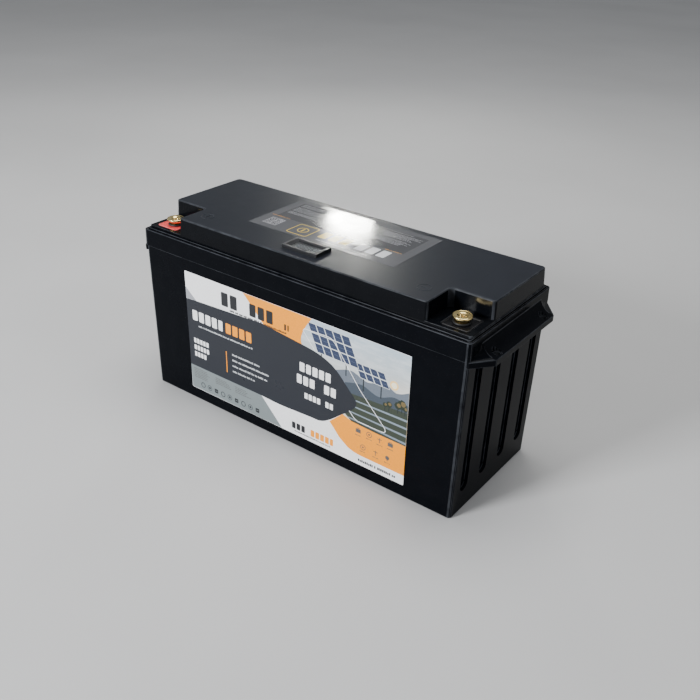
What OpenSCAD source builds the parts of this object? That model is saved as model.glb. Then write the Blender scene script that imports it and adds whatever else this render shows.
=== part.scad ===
// Sealed lithium iron phosphate deep cycle battery, eight cells in series.
// Millimetres. +X runs along the case to the negative terminal, -Y is the
// label side, +Z is up. The origin is on the base, at the centre of the case.

/* [Case] */
// Length over the two lifting ledges
overall_l = 485; // [480:1:490]
// Length of the collar, between the ledges
collar_l = 451.2; // [450:0.2:452]
// Width of the collar
collar_w = 170; // [169:0.5:172]
// Taper of each side wall between the base and the collar
side_draft = 1.2; // [0.8:0.1:1.6]
// Taper of each end wall between the base and the collar
end_draft = 2.8; // [2:0.1:3]
// Thickness of the case walls
wall = 3; // [2.5:0.1:3.2]
// Height of the underside of the collar
collar_z = 191; // [189:0.5:192]
// Height of the case's rim
rim_z = 212; // [211.5:0.5:212.5]
// Width of each vertical flute in the end walls
flute_w = 15; // [12:0.5:17]
// Depth of each vertical flute
flute_d = 4; // [3:0.1:4]
// Diameter of the rope holes in the ledges
rope_hole_d = 8; // [6:0.5:9]

/* [Lid] */
// Height of the lid's top face
lid_top_z = 236; // [235:0.5:238]
// Height of the floor of the terminal recesses
recess_z = 216; // [215.5:0.5:216.5]
// Distance from the middle of the lid to each terminal recess
recess_x = 170; // [165:1:174]
// Depth, front to back, of each terminal recess
recess_d = 44; // [42:1:50]

/* [Terminals] */
// Distance from the middle of the case to each terminal
term_x = 198.5; // [197:0.5:199]
// Distance of the terminals from the middle plane, towards the label side
term_y = 57; // [56:0.5:58]
// Diameter of the terminal's contact face
term_d = 20.5; // [18:0.5:22]
// Height of the terminal's contact face
term_top_z = 224; // [222:0.5:226]
// Diameter of the threaded hole at its minor diameter, for M8
thread_d = 6.8; // [6.6:0.05:6.9]
// Depth of the threaded hole
thread_depth = 15; // [12:0.5:16]

/* [Labels] */
// Width of the front label
front_label_w = 321.6; // [280:1:340]
// Height of the front label
front_label_h = 160; // [120:1:162]
// Width of the top label
top_label_w = 203; // [160:1:210]
// Depth of the top label
top_label_h = 98; // [80:1:100]

/* [Hidden] */
$fn = 48;

cl = collar_l / 2;                 // collar half length
cw = collar_w / 2;                 // collar half width
bl = cl - 1.3;                     // body half length under the collar
bw = cw - 1.3;                     // body half width under the collar
bl0 = bl - end_draft;              // body half length at the base
bw0 = bw - side_draft;             // body half width at the base
lip_x = overall_l / 2;             // ledge half length
lip_y = 62;                        // half width of the ledge's straight part
lip_t = 6.5;                       // height of the ledge's lip
hole_x = lip_x - 7;                // rope holes from the middle of the case
spot_z = collar_z + 0.6;           // spot-face round each rope hole
floor_z = 4.5;                     // top of the case floor
shelf_z = 203.5;                   // shelf that the lid's skirt stands on
px = cl - 5.1;                     // lid plateau half length at its top
py = cw - 8.2;                     // lid plateau half width at its top
ny = -(py + 0.9 - recess_d);       // back wall of a terminal recess
end_a = atan(end_draft / collar_z);
side_a = atan(side_draft / collar_z);
flute_y = [-60, -20, 20, 60];

cell_n = 8;
cell_t = 36.4;                     // thickness of one cell
cell_w = 130.3;                    // width of one cell
cell_h = 195.5;                    // height of one cell's can
cell_p = 37.4;                     // pitch of the cells
cell_z = floor_z + 3;              // underside of the cells
T = cell_z + cell_h;               // top of the cells
post_y = 45;                       // posts from the middle plane
stack_x = cell_p * (cell_n - 1) / 2 + cell_t / 2;   // half length of the stack
plate_t = 5;                       // thickness of the end plates
band_x = stack_x + plate_t;        // where the straps pass the end plates
band_y = cell_w / 2;

// Routes of the cables inside the case
cable_r = 4.6;
ty = -term_y;
route_pos = [[-145.9, -39.5, 211.2], [-152.5, -37.1, 211.2], [-159.1, -34.7, 211], [-165, -32, 209], [-172, -26.5, 205], [-183, -15, 198.5], [-194, -6, 193],
  [-200.5, -8, 191.5], [-200.5, -16.5, 195.5], [-term_x, ty + 32, 198.8], [-term_x, ty + 25, 198.8], [-term_x, ty + 18, 198.8]];
route_bms = [[145.9, -39.5, 211.2], [152.5, -37.1, 211.2], [159.1, -34.7, 211], [165, -32.5, 208.5], [171, -32, 204], [175.5, -34.5, 196], [177.5, -37.5, 187],
  [177.5, -38, 180], [177.5, -38, 173], [177.5, -38, 166]];
route_neg = [[177.5, 38, 166], [177.5, 38, 173], [177.6, 37.8, 179], [180.5, 33, 191], [188, 18, 197.5], [196, -2, 198.8], [term_x, -16, 198.9],
  [term_x, ty + 32, 198.8], [term_x, ty + 25, 198.8], [term_x, ty + 18, 198.8]];
route_meter = [[8, -52, 221.4], [8, -52, 219.6], [8.2, -53.4, 217.5], [11.5, -59, 217.3], [32, -62, 221.5], [60, -62, 224.5], [105, -62, 224.5], [146, -60, 224.5],
  [156, -46, 223], [160, -33, 221.5], [165, -23, 219.5], [170.5, -18.5, 210], [171, -19, 198], [171, -19, 190], [171, -19, 184], [171, -19, 179]];

// ---------- helpers ----------
function unit(v) = v / norm(v);
function corner(a, p, b, r, n) =
  let (u = unit(a - p), w = unit(b - p), g = acos(u * w), t = r / tan(g / 2),
       c = p + unit(u + w) * (r / sin(g / 2)), s = p + u * t, e = p + w * t,
       a0 = atan2(s.y - c.y, s.x - c.x), a1 = atan2(e.y - c.y, e.x - c.x),
       d = ((a1 - a0 + 540) % 360) - 180)
  [for (k = [0:n]) c + r * [cos(a0 + d * k / n), sin(a0 + d * k / n)]];
// A closed outline with each corner rounded to its own radius
function rounded(P, R, n = 5) = [for (i = [0:len(P) - 1])
  each corner(P[(i + len(P) - 1) % len(P)], P[i], P[(i + 1) % len(P)], R[i], n)];
function rect_pts(x, y, r, n = 5) = rounded([[-x, -y], [x, -y], [x, y], [-x, y]], [r, r, r, r], n);
function at_z(P, z) = [for (p = P) [p.x, p.y, z]];

// A solid through a stack of outlines that all have the same number of points
module skin(L) {
  n = len(L[0]);
  m = len(L);
  pts = [for (l = L) each l];
  sides = [for (k = [0:m - 2]) for (i = [0:n - 1]) let (j = (i + 1) % n,
      a = k * n + i, b = (k + 1) * n + i, c = (k + 1) * n + j, d = k * n + j)
      each [[a, b, c], [a, c, d]]];
  polyhedron(points = pts,
    faces = concat([[for (i = [0:n - 1]) i]], [[for (i = [n - 1:-1:0]) (m - 1) * n + i]], sides),
    convexity = 6);
}

function cr_at(P, i, t) = let (n = len(P) - 1, a = P[max(i - 1, 0)], b = P[i], c = P[min(i + 1, n)], d = P[min(i + 2, n)])
  0.5 * ((2 * b) + (c - a) * t + (2 * a - 5 * b + 4 * c - d) * t * t + (3 * b - a - 3 * c + d) * t * t * t);
function smooth(P, s) = concat([for (i = [0:len(P) - 2]) for (k = [0:s - 1]) cr_at(P, i, k / s)], [P[len(P) - 1]]);
function carry(Tn, i, n) = i >= len(Tn) ? [] : let (m = unit(n - (n * Tn[i]) * Tn[i])) concat([m], carry(Tn, i + 1, m));
// A round wire of radius r along the points P
module wire(P, r, sides = 8) {
  m = len(P);
  Tn = [for (i = [0:m - 1]) unit(P[min(i + 1, m - 1)] - P[max(i - 1, 0)])];
  n0 = unit(cross(Tn[0], abs(Tn[0].z) < 0.9 ? [0, 0, 1] : [1, 0, 0]));
  N = carry(Tn, 0, n0);
  skin([for (i = [0:m - 1]) [for (k = [0:sides - 1])
    P[i] + r * (cos(360 * k / sides) * N[i] + sin(360 * k / sides) * cross(Tn[i], N[i]))]]);
}

module rr2(x, y, r) { // half sizes, exact arcs
  square([2 * x, 2 * (y - r)], center = true);
  square([2 * (x - r), 2 * y], center = true);
  for (a = [-1, 1], b = [-1, 1]) translate([a * (x - r), b * (y - r)]) circle(r);
}
module slab(x, y, r, z0, z1) translate([0, 0, z0]) linear_extrude(z1 - z0) rr2(x, y, r);
module box(x0, x1, y0, y1, z0, z1) translate([x0, y0, z0]) cube([x1 - x0, y1 - y0, z1 - z0]);
module tube(ro, ri, z0, z1) translate([0, 0, z0]) difference() {
  cylinder(r = ro, h = z1 - z0);
  translate([0, 0, -1]) cylinder(r = ri, h = z1 - z0 + 2);
}
module hexnut(af, ri, h) difference() {
  cylinder(r = af / 2 / cos(30), h = h, $fn = 6);
  translate([0, 0, -1]) cylinder(r = ri, h = h + 2);
}

// ---------- case ----------
// Outward reach and height of the ledge's coved top, from the lip upwards
cove = [[lip_x - cl, 0.5], [lip_x - cl - 6, 1.6], [lip_x - cl - 11, 4.4], [lip_x - cl - 14.6, 8.8], [-0.7, 15]];
function ledge_ring(d, yl, z, s) = [for (p = [[cl - 3, -yl], [cl - 0.9, -yl], [cl + d, -lip_y], [cl + d, lip_y], [cl - 0.9, yl], [cl - 3, yl]]) [s * p.x, s * p.y, z]];
module ledge(s) {
  skin(concat(
    [ledge_ring(lip_x - cl - 0.6, cw - 0.9, collar_z - lip_t + 0.5, s), ledge_ring(lip_x - cl, cw - 0.6, collar_z - lip_t + 1.1, s)],
    [for (i = [0:4]) ledge_ring(cove[i][0], lip_y + (cw - 0.3 - lip_y) * (1 - i / 4.4), collar_z + cove[i][1], s)]));
}
// Hollow under the ledge, behind its lip
module ledge_hollow(s) {
  for (y = [-34, 0, 34]) translate([0, y + 15.4, 0]) rotate([90, 0, 0]) linear_extrude(30.8)
    polygon([for (p = [[cl - 1.2, 180], [lip_x - 3.2, 180], [lip_x - 3.2, 188.2], [lip_x - 8, 190], [lip_x - 12, 192.6], [cl - 1.2, 197]]) [s * p.x, p.y]]);
}
module flute(s, y, w, d, z0, z1) { // sunk from the tapered end wall
  translate([s * bl0, y, 0]) rotate([0, s * end_a, 0]) {
    translate([s > 0 ? -d : -30, -w / 2, z0 + w / 2]) cube([d + 30, w, z1 - z0 - w / 2]);
    translate([s > 0 ? -d : -30, 0, z0 + w / 2]) rotate([0, 90, 0]) cylinder(d = w, h = d + 30);
  }
}
module case() color([0.03, 0.03, 0.035]) difference() {
  union() {
    difference() {
      union() {
        skin([at_z(rect_pts(bl0 - 1.4, bw0 - 1.4, 3), 0), at_z(rect_pts(bl0 - 0.4, bw0 - 0.4, 3.6), 0.4), at_z(rect_pts(bl0, bw0, 4), 1.4), at_z(rect_pts(bl, bw, 4), collar_z + 1)]);
        skin([at_z(rect_pts(cl - 0.5, cw - 0.5, 4), collar_z), at_z(rect_pts(cl, cw, 4.5), collar_z + 0.5),
              at_z(rect_pts(cl - 0.3, cw - 0.3, 4.5), rim_z - 0.7), at_z(rect_pts(cl - 0.5, cw - 0.5, 4.3), rim_z - 0.2), at_z(rect_pts(cl - 1, cw - 1, 3.8), rim_z)]);
        for (s = [-1, 1]) ledge(s);
      }
      // cells' cavity, the shelf above it and the seat of the lid
      skin([at_z(rect_pts(bl0 - wall, bw0 - wall, 3), floor_z), at_z(rect_pts(bl - wall, bw - wall, 3), 198)]);
      slab(cl - 6.6, cw - 6.7, 3, 197, 205);
      slab(cl - 2.3, cw - 2.5, 3, shelf_z, 214);
      for (s = [-1, 1]) ledge_hollow(s);
    }
    // the wall steps inwards behind each flute
    for (s = [-1, 1], y = flute_y) intersection() {
      translate([s * bl0, y, 0]) rotate([0, s * end_a, 0]) translate([s > 0 ? -flute_d - wall : 0.5, -flute_w / 2 - wall, 20]) cube([flute_d + wall - 0.5, flute_w + 2 * wall, 180]);
      box(-300, 300, -100, 100, 0, 198);
    }
    // sleeves of the rope holes
    for (s = [-1, 1], y = [-50, 50]) translate([s * hole_x, y, collar_z - lip_t + 0.5]) cylinder(r = 6.5, h = spot_z - collar_z + lip_t - 0.5);
  }
  for (s = [-1, 1], y = flute_y) flute(s, y, flute_w, flute_d, 26, 183);
  for (s = [-1, 1], y = [-50, 50]) translate([s * hole_x, y, 0]) {
    translate([0, 0, 170]) cylinder(d = rope_hole_d, h = 60);
    translate([0, 0, spot_z]) cylinder(d = rope_hole_d + 3.6, h = 9);
  }
  // shallow panels in the underside
  for (i = [-3:3], j = [-1, 1]) translate([i * 58, j * 34.5, -1]) linear_extrude(2.2) rr2(26.5, 31.5, 4);
}

// ---------- lid ----------
function lid_pts(dx, dy, t, n = 4) = // plateau outline, t in from the outer face
  rounded([[-(recess_x + dx) + t, -(py + dy) + t], [recess_x + dx - t, -(py + dy) + t], [recess_x + dx - t, ny - dy / 2 + t], [px + dx - t, ny - dy / 2 + t],
    [px + dx - t, py + dy - t], [-(px + dx) + t, py + dy - t], [-(px + dx) + t, ny - dy / 2 + t], [-(recess_x + dx) + t, ny - dy / 2 + t]],
    [3.2 - min(t, 2), 3.2 - min(t, 2), 5 + min(t, 3), 3.6 - min(t, 2), 5 - min(t, 3), 5 - min(t, 3), 3.6 - min(t, 2), 5 + min(t, 3)], n);
module plateau_solid(fr) {
  skin(concat([at_z(lid_pts(1, 1.7, 0), 212.8)],
    [for (a = [0, 22.5, 45, 67.5, 90]) at_z(lid_pts(0.04, 0.06, fr * (1 - cos(a))), lid_top_z - fr + fr * sin(a))]));
}
module mark_ring(x) translate([x, -51, lid_top_z - 0.5]) tube(8, 6.8, 0, 0.9);
module pad_pocket(s, g, z0, z1) translate([s * term_x, -term_y, 0]) slab(15.5 + g, 15.5 + g, 3.5 + g, z0, z1);
module lid() color([0.05, 0.05, 0.055]) difference() {
  union() {
    difference() {
      union() {
        plateau_solid(1.5);
        skin([at_z(rect_pts(cl - 3.3, cw - 3.5, 3), 205), at_z(rect_pts(cl - 3.3, cw - 3.5, 3), 213.1), at_z(rect_pts(cl - 3.7, cw - 3.9, 2.6), 213.6)]);
        skin([at_z(rect_pts(px + 1.1, py + 1.8, 3), 212.5), at_z(rect_pts(px + 0.95, py + 1.6, 3), recess_z - 0.5), at_z(rect_pts(px + 0.45, py + 1.1, 2.5), recess_z)]);
      }
      translate([0, 0, 212]) linear_extrude(lid_top_z - wall - 212) {
        translate([-(px - wall), ny + wall]) square([2 * (px - wall), py - ny - 2 * wall]);
        translate([-(recess_x - wall), -(py - wall)]) square([2 * (recess_x - wall), 2 * (py - wall)]);
      }
      slab(cl - 6.4, cw - 6.6, 3, 204, 213);
    }
    // bosses under the terminal pads, and ribs under the top face
    for (s = [-1, 1]) pad_pocket(s, 2.5, 211, 215);
    for (x = [-150, -100, -50, 50, 100, 150]) box(x - 1, x + 1, -(py - 2), py - 2, lid_top_z - wall - 5, lid_top_z - 1.5);
    for (x = [-1, 1]) mark_ring(x * 150);
    translate([-150, -51, lid_top_z - 0.5]) { box(-3.6, 3.6, -0.7, 0.7, 0, 0.9); box(-0.7, 0.7, -3.6, 3.6, 0, 0.9); }
    translate([150, -51, lid_top_z - 0.5]) box(-3.6, 3.6, -0.7, 0.7, 0, 0.9);
  }
  for (s = [-1, 1]) {
    pad_pocket(s, 0.3, 214.4, 230);
    translate([s * term_x, -term_y, 200]) cylinder(d = 14.3, h = 20);
  }
  box(-22.6, 22.6, -52 - 11.9, -52 + 11.9, 200, 250); // opening for the meter
}
module lid_seal() color([0.10, 0.10, 0.11]) difference() {
  slab(cl - 2.4, cw - 2.6, 3, shelf_z, 205);
  slab(cl - 6.5, cw - 6.6, 3, 200, 210);
}

// ---------- labels ----------
module front_label() color([0.27, 0.28, 0.30]) translate([0.8, -bw0 - 0.02, 0]) rotate([side_a, 0, 0])
  translate([0, -0.3, 15.6 + front_label_h / 2]) rotate([-90, 0, 0]) linear_extrude(0.3) rr2(front_label_w / 2, front_label_h / 2, 1.2);
module top_label() color([0.33, 0.34, 0.36]) translate([-2.5, 17.8, 0]) slab(top_label_w / 2, top_label_h / 2, 1.5, lid_top_z, lid_top_z + 0.3);

// ---------- terminals ----------
module terminal_pad(s, c) color(c) difference() {
  union() {
    pad_pocket(s, 0, 214.4, 215.6);
    difference() { pad_pocket(s, 0, 215, 216.4); pad_pocket(s, -1.2, 215.6, 218); }
  }
  translate([s * term_x, -term_y, 200]) cylinder(d = 14.3, h = 20);
}
module terminal_insert(s) color([0.83, 0.68, 0.30]) translate([s * term_x, -term_y, 0]) difference() {
  union() {
    rotate_extrude() polygon([[0, 196], [6.6, 196], [7, 196.4], [7, 218.6], [8.2, 219.6], [8.6, 221.4], [term_d / 2 - 0.5, term_top_z - 2.6], [term_d / 2, term_top_z - 2.1], [term_d / 2, term_top_z - 0.7], [term_d / 2 - 0.7, term_top_z], [0, term_top_z]]);
  }
  translate([0, 0, term_top_z - thread_depth]) cylinder(d = thread_d, h = thread_depth + 1);
  translate([0, 0, term_top_z - 1]) cylinder(d1 = thread_d, d2 = thread_d + 4, h = 2);
}
module terminal_o_rings() color([0.08, 0.08, 0.08]) for (s = [-1, 1]) translate([s * term_x, -term_y, 0])
  rotate_extrude() translate([8.15, 216.7]) circle(1.05);
module terminal_washers() color([0.75, 0.75, 0.76]) for (s = [-1, 1]) translate([s * term_x, -term_y, 0]) tube(12, 7.1, 209.4, 211);
module terminal_nuts() color([0.80, 0.72, 0.42]) for (s = [-1, 1], z = [197, 204.6]) translate([s * term_x, -term_y, z]) hexnut(19, 7.05, 4.8);

// ---------- panel meter ----------
module meter_housing() color([0.06, 0.06, 0.065]) translate([0, -52, 0]) difference() {
  union() {
    skin([at_z(rect_pts(24, 13.25, 1), lid_top_z), at_z(rect_pts(24, 13.25, 1), lid_top_z + 3.4), at_z(rect_pts(23.6, 12.85, 0.8), lid_top_z + 4)]);
    slab(22.4, 11.7, 0.8, 222, lid_top_z + 1);
  }
  skin([at_z(rect_pts(17.2, 7.9, 0.6), lid_top_z + 1.9), at_z(rect_pts(20.6, 10, 0.8), lid_top_z + 4.1)]);
  slab(18, 9, 0.6, lid_top_z - 2.2, lid_top_z + 2);
  slab(20.9, 10.2, 0.6, 210, lid_top_z - 2);
}
module meter_window() color([0.5, 0.55, 0.6, 0.35]) translate([0, -52, 0]) slab(17.9, 8.9, 0.5, lid_top_z + 0.9, lid_top_z + 2);
module meter_display() color([0.12, 0.13, 0.13]) translate([0, -52, 0]) slab(17.6, 8.6, 0.4, lid_top_z - 5, lid_top_z + 0.8);
module meter_board() color([0.10, 0.32, 0.18]) translate([0, -52, 0]) slab(20.6, 9.9, 0.5, lid_top_z - 6.8, lid_top_z - 5.1);
module meter_socket() color([0.92, 0.91, 0.86]) translate([8, -52, 0]) difference() {
  slab(6, 3.4, 0.4, 222.5, lid_top_z - 6.9);
  slab(4.8, 2.3, 0.2, 210, 227.5);
}
module meter_clips() color([0.06, 0.06, 0.065]) for (s = [-1, 1]) translate([0, -52, 0])
  rotate([90, 0, 0]) translate([0, 0, -4]) linear_extrude(8) polygon([[s * 22.42, 218], [s * 22.42, 232.4], [s * 24.6, 232.4], [s * 24.6, 231.2]]);

// ---------- cells ----------
function cx(i) = (4.5 - i) * cell_p;      // cell 1 is at the negative end
module cell(i) color([0.16, 0.36, 0.66]) translate([cx(i), 0, 0]) slab(cell_t / 2, cell_w / 2, 2.5, cell_z, T);
module cell_top_plates() color([0.80, 0.81, 0.82]) for (i = [1:8]) translate([cx(i), 0, 0]) difference() {
  slab(cell_t / 2 - 1.2, cell_w / 2 - 1.2, 1.6, T, T + 0.6);
  slab(5.2, 10.2, 5, T - 1, T + 2);
}
module cell_vents() color([0.62, 0.63, 0.65]) for (i = [1:8]) translate([cx(i), 0, 0]) difference() {
  slab(5, 10, 4.9, T, T + 0.4);
  slab(3.6, 8.6, 3.5, T + 0.25, T + 1);
}
module studs() for (i = [1:8], s = [-1, 1]) translate([cx(i), s * post_y, 0]) children();
module post_gaskets() color([0.10, 0.10, 0.11]) studs() difference() {
  slab(8.5, 11.5, 2, T + 0.6, T + 1.1);
  slab(7.05, 10.05, 1.5, T, T + 2);
}
module cell_posts() color([0.86, 0.86, 0.87]) studs() { slab(7, 10, 1.5, T + 0.6, T + 2.5); translate([0, 0, T + 2]) cylinder(r = 3, h = 10.4); }
module separator_sheets() color([0.80, 0.74, 0.50]) for (i = [1:7]) translate([cx(i) - cell_p / 2, 0, 0]) box(-0.45, 0.45, -64.6, 64.6, cell_z + 0.5, T - 1);
module end_plate(s) color([0.70, 0.71, 0.72]) difference() {
  box(s > 0 ? stack_x : -band_x, s > 0 ? band_x : -stack_x, -64.8, 64.8, cell_z + 1, T - 4);
  if (s > 0) for (y = [-50, 50], z = [48, 164]) translate([stack_x - 1, y, z]) rotate([0, 90, 0]) cylinder(r = 1.9, h = 10);
}
module strap(z) color([0.72, 0.73, 0.75]) difference() {
  slab(band_x + 1, band_y + 0.95, 1.5, z - 9.5, z + 9.5);
  slab(band_x + 0.1, band_y + 0.15, 0.6, z - 10, z + 10);
}
module strap_buckles() color([0.60, 0.61, 0.63]) for (z = [66, 140]) difference() {
  box(-40, -12, -(band_y + 2.2), -(band_y + 1), z - 11.5, z + 11.5);
  for (x = [-33, -19]) box(x - 2, x + 2, -80, -60, z - 8, z + 8);
}
module busbar_set(s, first) color([0.82, 0.80, 0.74]) for (i = [first:2:7]) translate([cx(i) - cell_p / 2, s * post_y, 0]) difference() {
  union() {
    slab(28.4, 10.5, 4, T + 2.5, T + 4.9);
    translate([0, 10.5, T + 4.3]) rotate([90, 0, 0]) intersection() { cylinder(r = 3.6, h = 21); translate([-5, 0.6, -1]) cube([10, 5, 30]); }
  }
  for (x = [-cell_p / 2, cell_p / 2]) translate([x, 0, T]) cylinder(r = 3.25, h = 10);
}
// sense points: the cell whose stud carries the lug, its side, and the wire's lane
SENSE = [[1, -1, -9], [2, -1, -7], [4, -1, -5], [6, -1, -3], [8, -1, -1], [1, 1, 7], [3, 1, 5], [5, 1, 3], [7, 1, 1]];
function has_sense(i, s) = len([for (q = SENSE) if (q[0] == i && q[1] == s) 1]) > 0;
module stud_washers() color([0.76, 0.76, 0.78]) for (i = [1:8], s = [-1, 1]) if (!has_sense(i, s)) translate([cx(i), s * post_y, 0]) tube(6.4, 3.2, T + 5, T + 5.9);
module busbar_nuts() color([0.80, 0.80, 0.82]) studs() translate([0, 0, T + 6]) difference() {
  union() { cylinder(r = 6.4, h = 1.1); cylinder(r = 5.77, h = 5.4, $fn = 6); }
  translate([0, 0, -1]) cylinder(r = 3.06, h = 8);
}
module sense_lugs() color([0.78, 0.76, 0.72]) for (q = SENSE) translate([cx(q[0]), q[1] * post_y, 0]) difference() {
  union() {
    translate([0, 0, T + 5]) cylinder(r = 6, h = 0.9);
    box(-2, 2, q[1] > 0 ? -10 : 4, q[1] > 0 ? -4 : 10, T + 5, T + 5.9);
    translate([0, q[1] > 0 ? -15 : 9.5, T + 6.6]) rotate([-90, 0, 0]) cylinder(r = 1.6, h = 5.5);
  }
  translate([0, 0, T]) cylinder(r = 3.2, h = 10);
  translate([0, q[1] > 0 ? -16 : 12, T + 6.6]) rotate([-90, 0, 0]) cylinder(r = 1.02, h = 4);
}
module sense_wires() color([0.85, 0.85, 0.83]) for (q = SENSE) {
  x = cx(q[0]); s = q[1]; v = q[2];
  wire(concat(
    smooth([[x, s * 32.6, T + 6.6], [x, s * 28, T + 6.4], [x + 2, s * 21, T + 4], [x + 7, v + s * 5, T + 2.4], [x + 16, v, T + 2.2]], 2),
    smooth([[max(x + 24, 146), v, T + 2.2], [156, v, T + 1.6], [164, v, T - 3], [169, v, T - 12], [171, v, T - 21]], 2)), 0.9, 6);
}
module harness_plugs() color([0.93, 0.92, 0.88]) {
  difference() {
    box(168.2, 173.8, -11.4, 9.4, 169, T - 21);
    for (v = [for (q = SENSE) q[2]]) translate([171, v, T - 24]) cylinder(r = 0.95, h = 5);
  }
  difference() { // the meter lead's plugs, at the board and in the meter
    box(168.2, 173.8, -23, -15, 169, T - 21);
    translate([171, -19, T - 24]) cylinder(r = 1.25, h = 5);
  }
  translate([8, -52, 0]) difference() {
    slab(4.7, 2.2, 0.2, 219.2, 227.4);
    translate([0, 0, 218]) cylinder(r = 1.3, h = 3.5);
  }
}
module meter_lead() color([0.10, 0.10, 0.11]) wire(smooth(route_meter, 2), 1.2);
module harness_clips() color([0.88, 0.88, 0.86]) for (x = [-104.8, -30, 44.8, 119.6]) translate([x - 2, 0, 0]) difference() {
  box(0, 4, -11.8, 9.8, T + 0.65, T + 4.6);
  box(-1, 5, -10.6, 8.6, T + 0.9, T + 3.6);
}

// ---------- main cables ----------
module lug(hole_r, ring_r, t) { // ring at the origin, barrel along +X
  difference() {
    union() {
      cylinder(r = ring_r, h = t);
      translate([0, -5.6, 0]) cube([ring_r + 6, 11.2, t]);
      translate([ring_r + 3, 0, 5.7]) rotate([0, 90, 0]) cylinder(r = 5.7, h = 16);
    }
    translate([0, 0, -1]) cylinder(r = hole_r, h = 20);
    translate([ring_r + 5, 0, 5.7]) rotate([0, 90, 0]) cylinder(r = 4.85, h = 20);
  }
}
module lug_up(hole_r, ring_r, t) mirror([0, 0, 1]) lug(hole_r, ring_r, t);
module cable_lugs() color([0.80, 0.62, 0.45]) {
  translate([cx(8), -post_y, T + 2.5]) rotate([0, 0, 160]) lug(3.25, 10, 2.4);
  translate([cx(1), -post_y, T + 2.5]) rotate([0, 0, 20]) lug(3.25, 10, 2.4);
  for (s = [-1, 1]) translate([s * term_x, -term_y, 204.5]) rotate([0, 0, 90]) lug_up(7.08, 11.5, 2.6);
  translate([171.8, -38, 150]) rotate([0, -90, 0]) mirror([0, 0, 1]) lug(2.6, 9, 2.2);
  translate([171.8, 38, 150]) rotate([0, -90, 0]) mirror([0, 0, 1]) lug(2.6, 9, 2.2);
}
module cable_positive() color([0.72, 0.10, 0.09]) wire(smooth(route_pos, 2), cable_r, 10);
module cable_bms_negative() color([0.08, 0.08, 0.09]) wire(smooth(route_bms, 2), cable_r, 10);
module cable_negative() color([0.08, 0.08, 0.09]) wire(smooth(route_neg, 2), cable_r, 10);

// ---------- battery management unit ----------
hs = band_x + 1.3; // the heatsink's back face, clear of the straps
module bms_heatsink() color([0.62, 0.63, 0.65]) difference() {
  union() {
    box(hs, hs + 3, -58, 58, 38, 174);
    for (y = [-52:8:52]) if (abs(abs(y) - 50) > 3) box(hs + 3, hs + 6.5, y - 1, y + 1, 44, 158);
    for (y = [-50, 50], z = [48, 164]) translate([hs + 2, y, z]) rotate([0, 90, 0]) cylinder(r = 4, h = 6);
  }
  for (y = [-50, 50], z = [48, 164]) translate([hs - 1, y, z]) rotate([0, 90, 0]) cylinder(r = 2.1, h = 12);
}
module bms_board() color([0.05, 0.16, 0.33]) difference() {
  box(hs + 8, hs + 9.6, -56, 56, 42, 170);
  for (y = [-50, 50], z = [48, 164]) translate([hs, y, z]) rotate([0, 90, 0]) cylinder(r = 2.1, h = 12);
}
module bms_parts() color([0.10, 0.10, 0.11]) {
  for (i = [0:7], j = [0:1]) box(hs + 9.7, hs + 14, -46 + i * 12, -37 + i * 12, 92 + j * 17, 104 + j * 17);
  for (i = [0:3]) translate([hs + 9.7, -36 + i * 24, 62]) rotate([0, 90, 0]) cylinder(r = 5, h = 12);
  box(hs + 9.7, hs + 12, -14, 14, 74, 86);
}
module bms_busbars() color([0.80, 0.55, 0.36]) for (s = [-1, 1]) difference() {
  box(hs + 9.7, 171.7, s > 0 ? 26 : -50, s > 0 ? 50 : -26, 132, 160);
  translate([160, s * 38, 150]) rotate([0, 90, 0]) cylinder(r = 2.6, h = 20);
}
module bms_screws() color([0.78, 0.78, 0.80]) {
  for (y = [-50, 50], z = [48, 164]) translate([stack_x + 1, y, z]) rotate([0, 90, 0]) { cylinder(r = 1.85, h = hs + 9.7 - stack_x - 1); translate([0, 0, hs + 9.65 - stack_x - 1]) cylinder(r = 3.8, h = 2.4); }
  for (s = [-1, 1]) translate([hs + 10.2, s * 38, 150]) rotate([0, 90, 0]) { cylinder(r = 2.5, h = 176 - hs - 11); translate([0, 0, 174.02 - hs - 10.2]) cylinder(r = 5, h = 3.4, $fn = 6); }
}
module wireless_module() color([0.12, 0.12, 0.13]) translate([-184, 18, 0]) {
  slab(12, 20, 1.5, 150.1, 158);
  translate([0, 0, 157.5]) slab(9, 15, 1, 0, 1.6);
}

// ---------- padding ----------
module base_pad() color([0.14, 0.14, 0.15]) slab(153, 70, 2, floor_z, floor_z + 2.95);
module side_pad(s) color([0.14, 0.14, 0.15]) box(-148, 148, s > 0 ? band_y + 2.4 : -(bw0 - wall - 0.3), s > 0 ? bw0 - wall - 0.3 : -(band_y + 2.4), cell_z + 2, 192);
module end_foam_left() color([0.14, 0.14, 0.15]) box(-210.5, -(band_x + 1.2), -70, 70, floor_z + 0.1, 150);
module end_foam_right() color([0.14, 0.14, 0.15]) box(187, 210.5, -70, 70, floor_z + 0.1, 120);

case();
lid_seal();
front_label();
lid();
top_label();
terminal_pad(-1, [0.80, 0.10, 0.10]);  // terminal_pad_positive
terminal_pad(1, [0.06, 0.06, 0.06]);  // terminal_pad_negative
terminal_insert(-1);  // terminal_insert_positive
terminal_insert(1);  // terminal_insert_negative
terminal_o_rings();
terminal_washers();
terminal_nuts();
meter_housing();
meter_window();
meter_display();
meter_board();
meter_socket();
meter_clips();
base_pad();
side_pad(-1);  // side_pad_front
side_pad(1);  // side_pad_back
end_foam_left();
end_foam_right();
cell(1);  // cell_1
cell(2);  // cell_2
cell(3);  // cell_3
cell(4);  // cell_4
cell(5);  // cell_5
cell(6);  // cell_6
cell(7);  // cell_7
cell(8);  // cell_8
cell_top_plates();
cell_vents();
post_gaskets();
cell_posts();
separator_sheets();
end_plate(-1);  // end_plate_left
end_plate(1);  // end_plate_right
strap(66);  // strap_lower
strap(140);  // strap_upper
strap_buckles();
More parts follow.
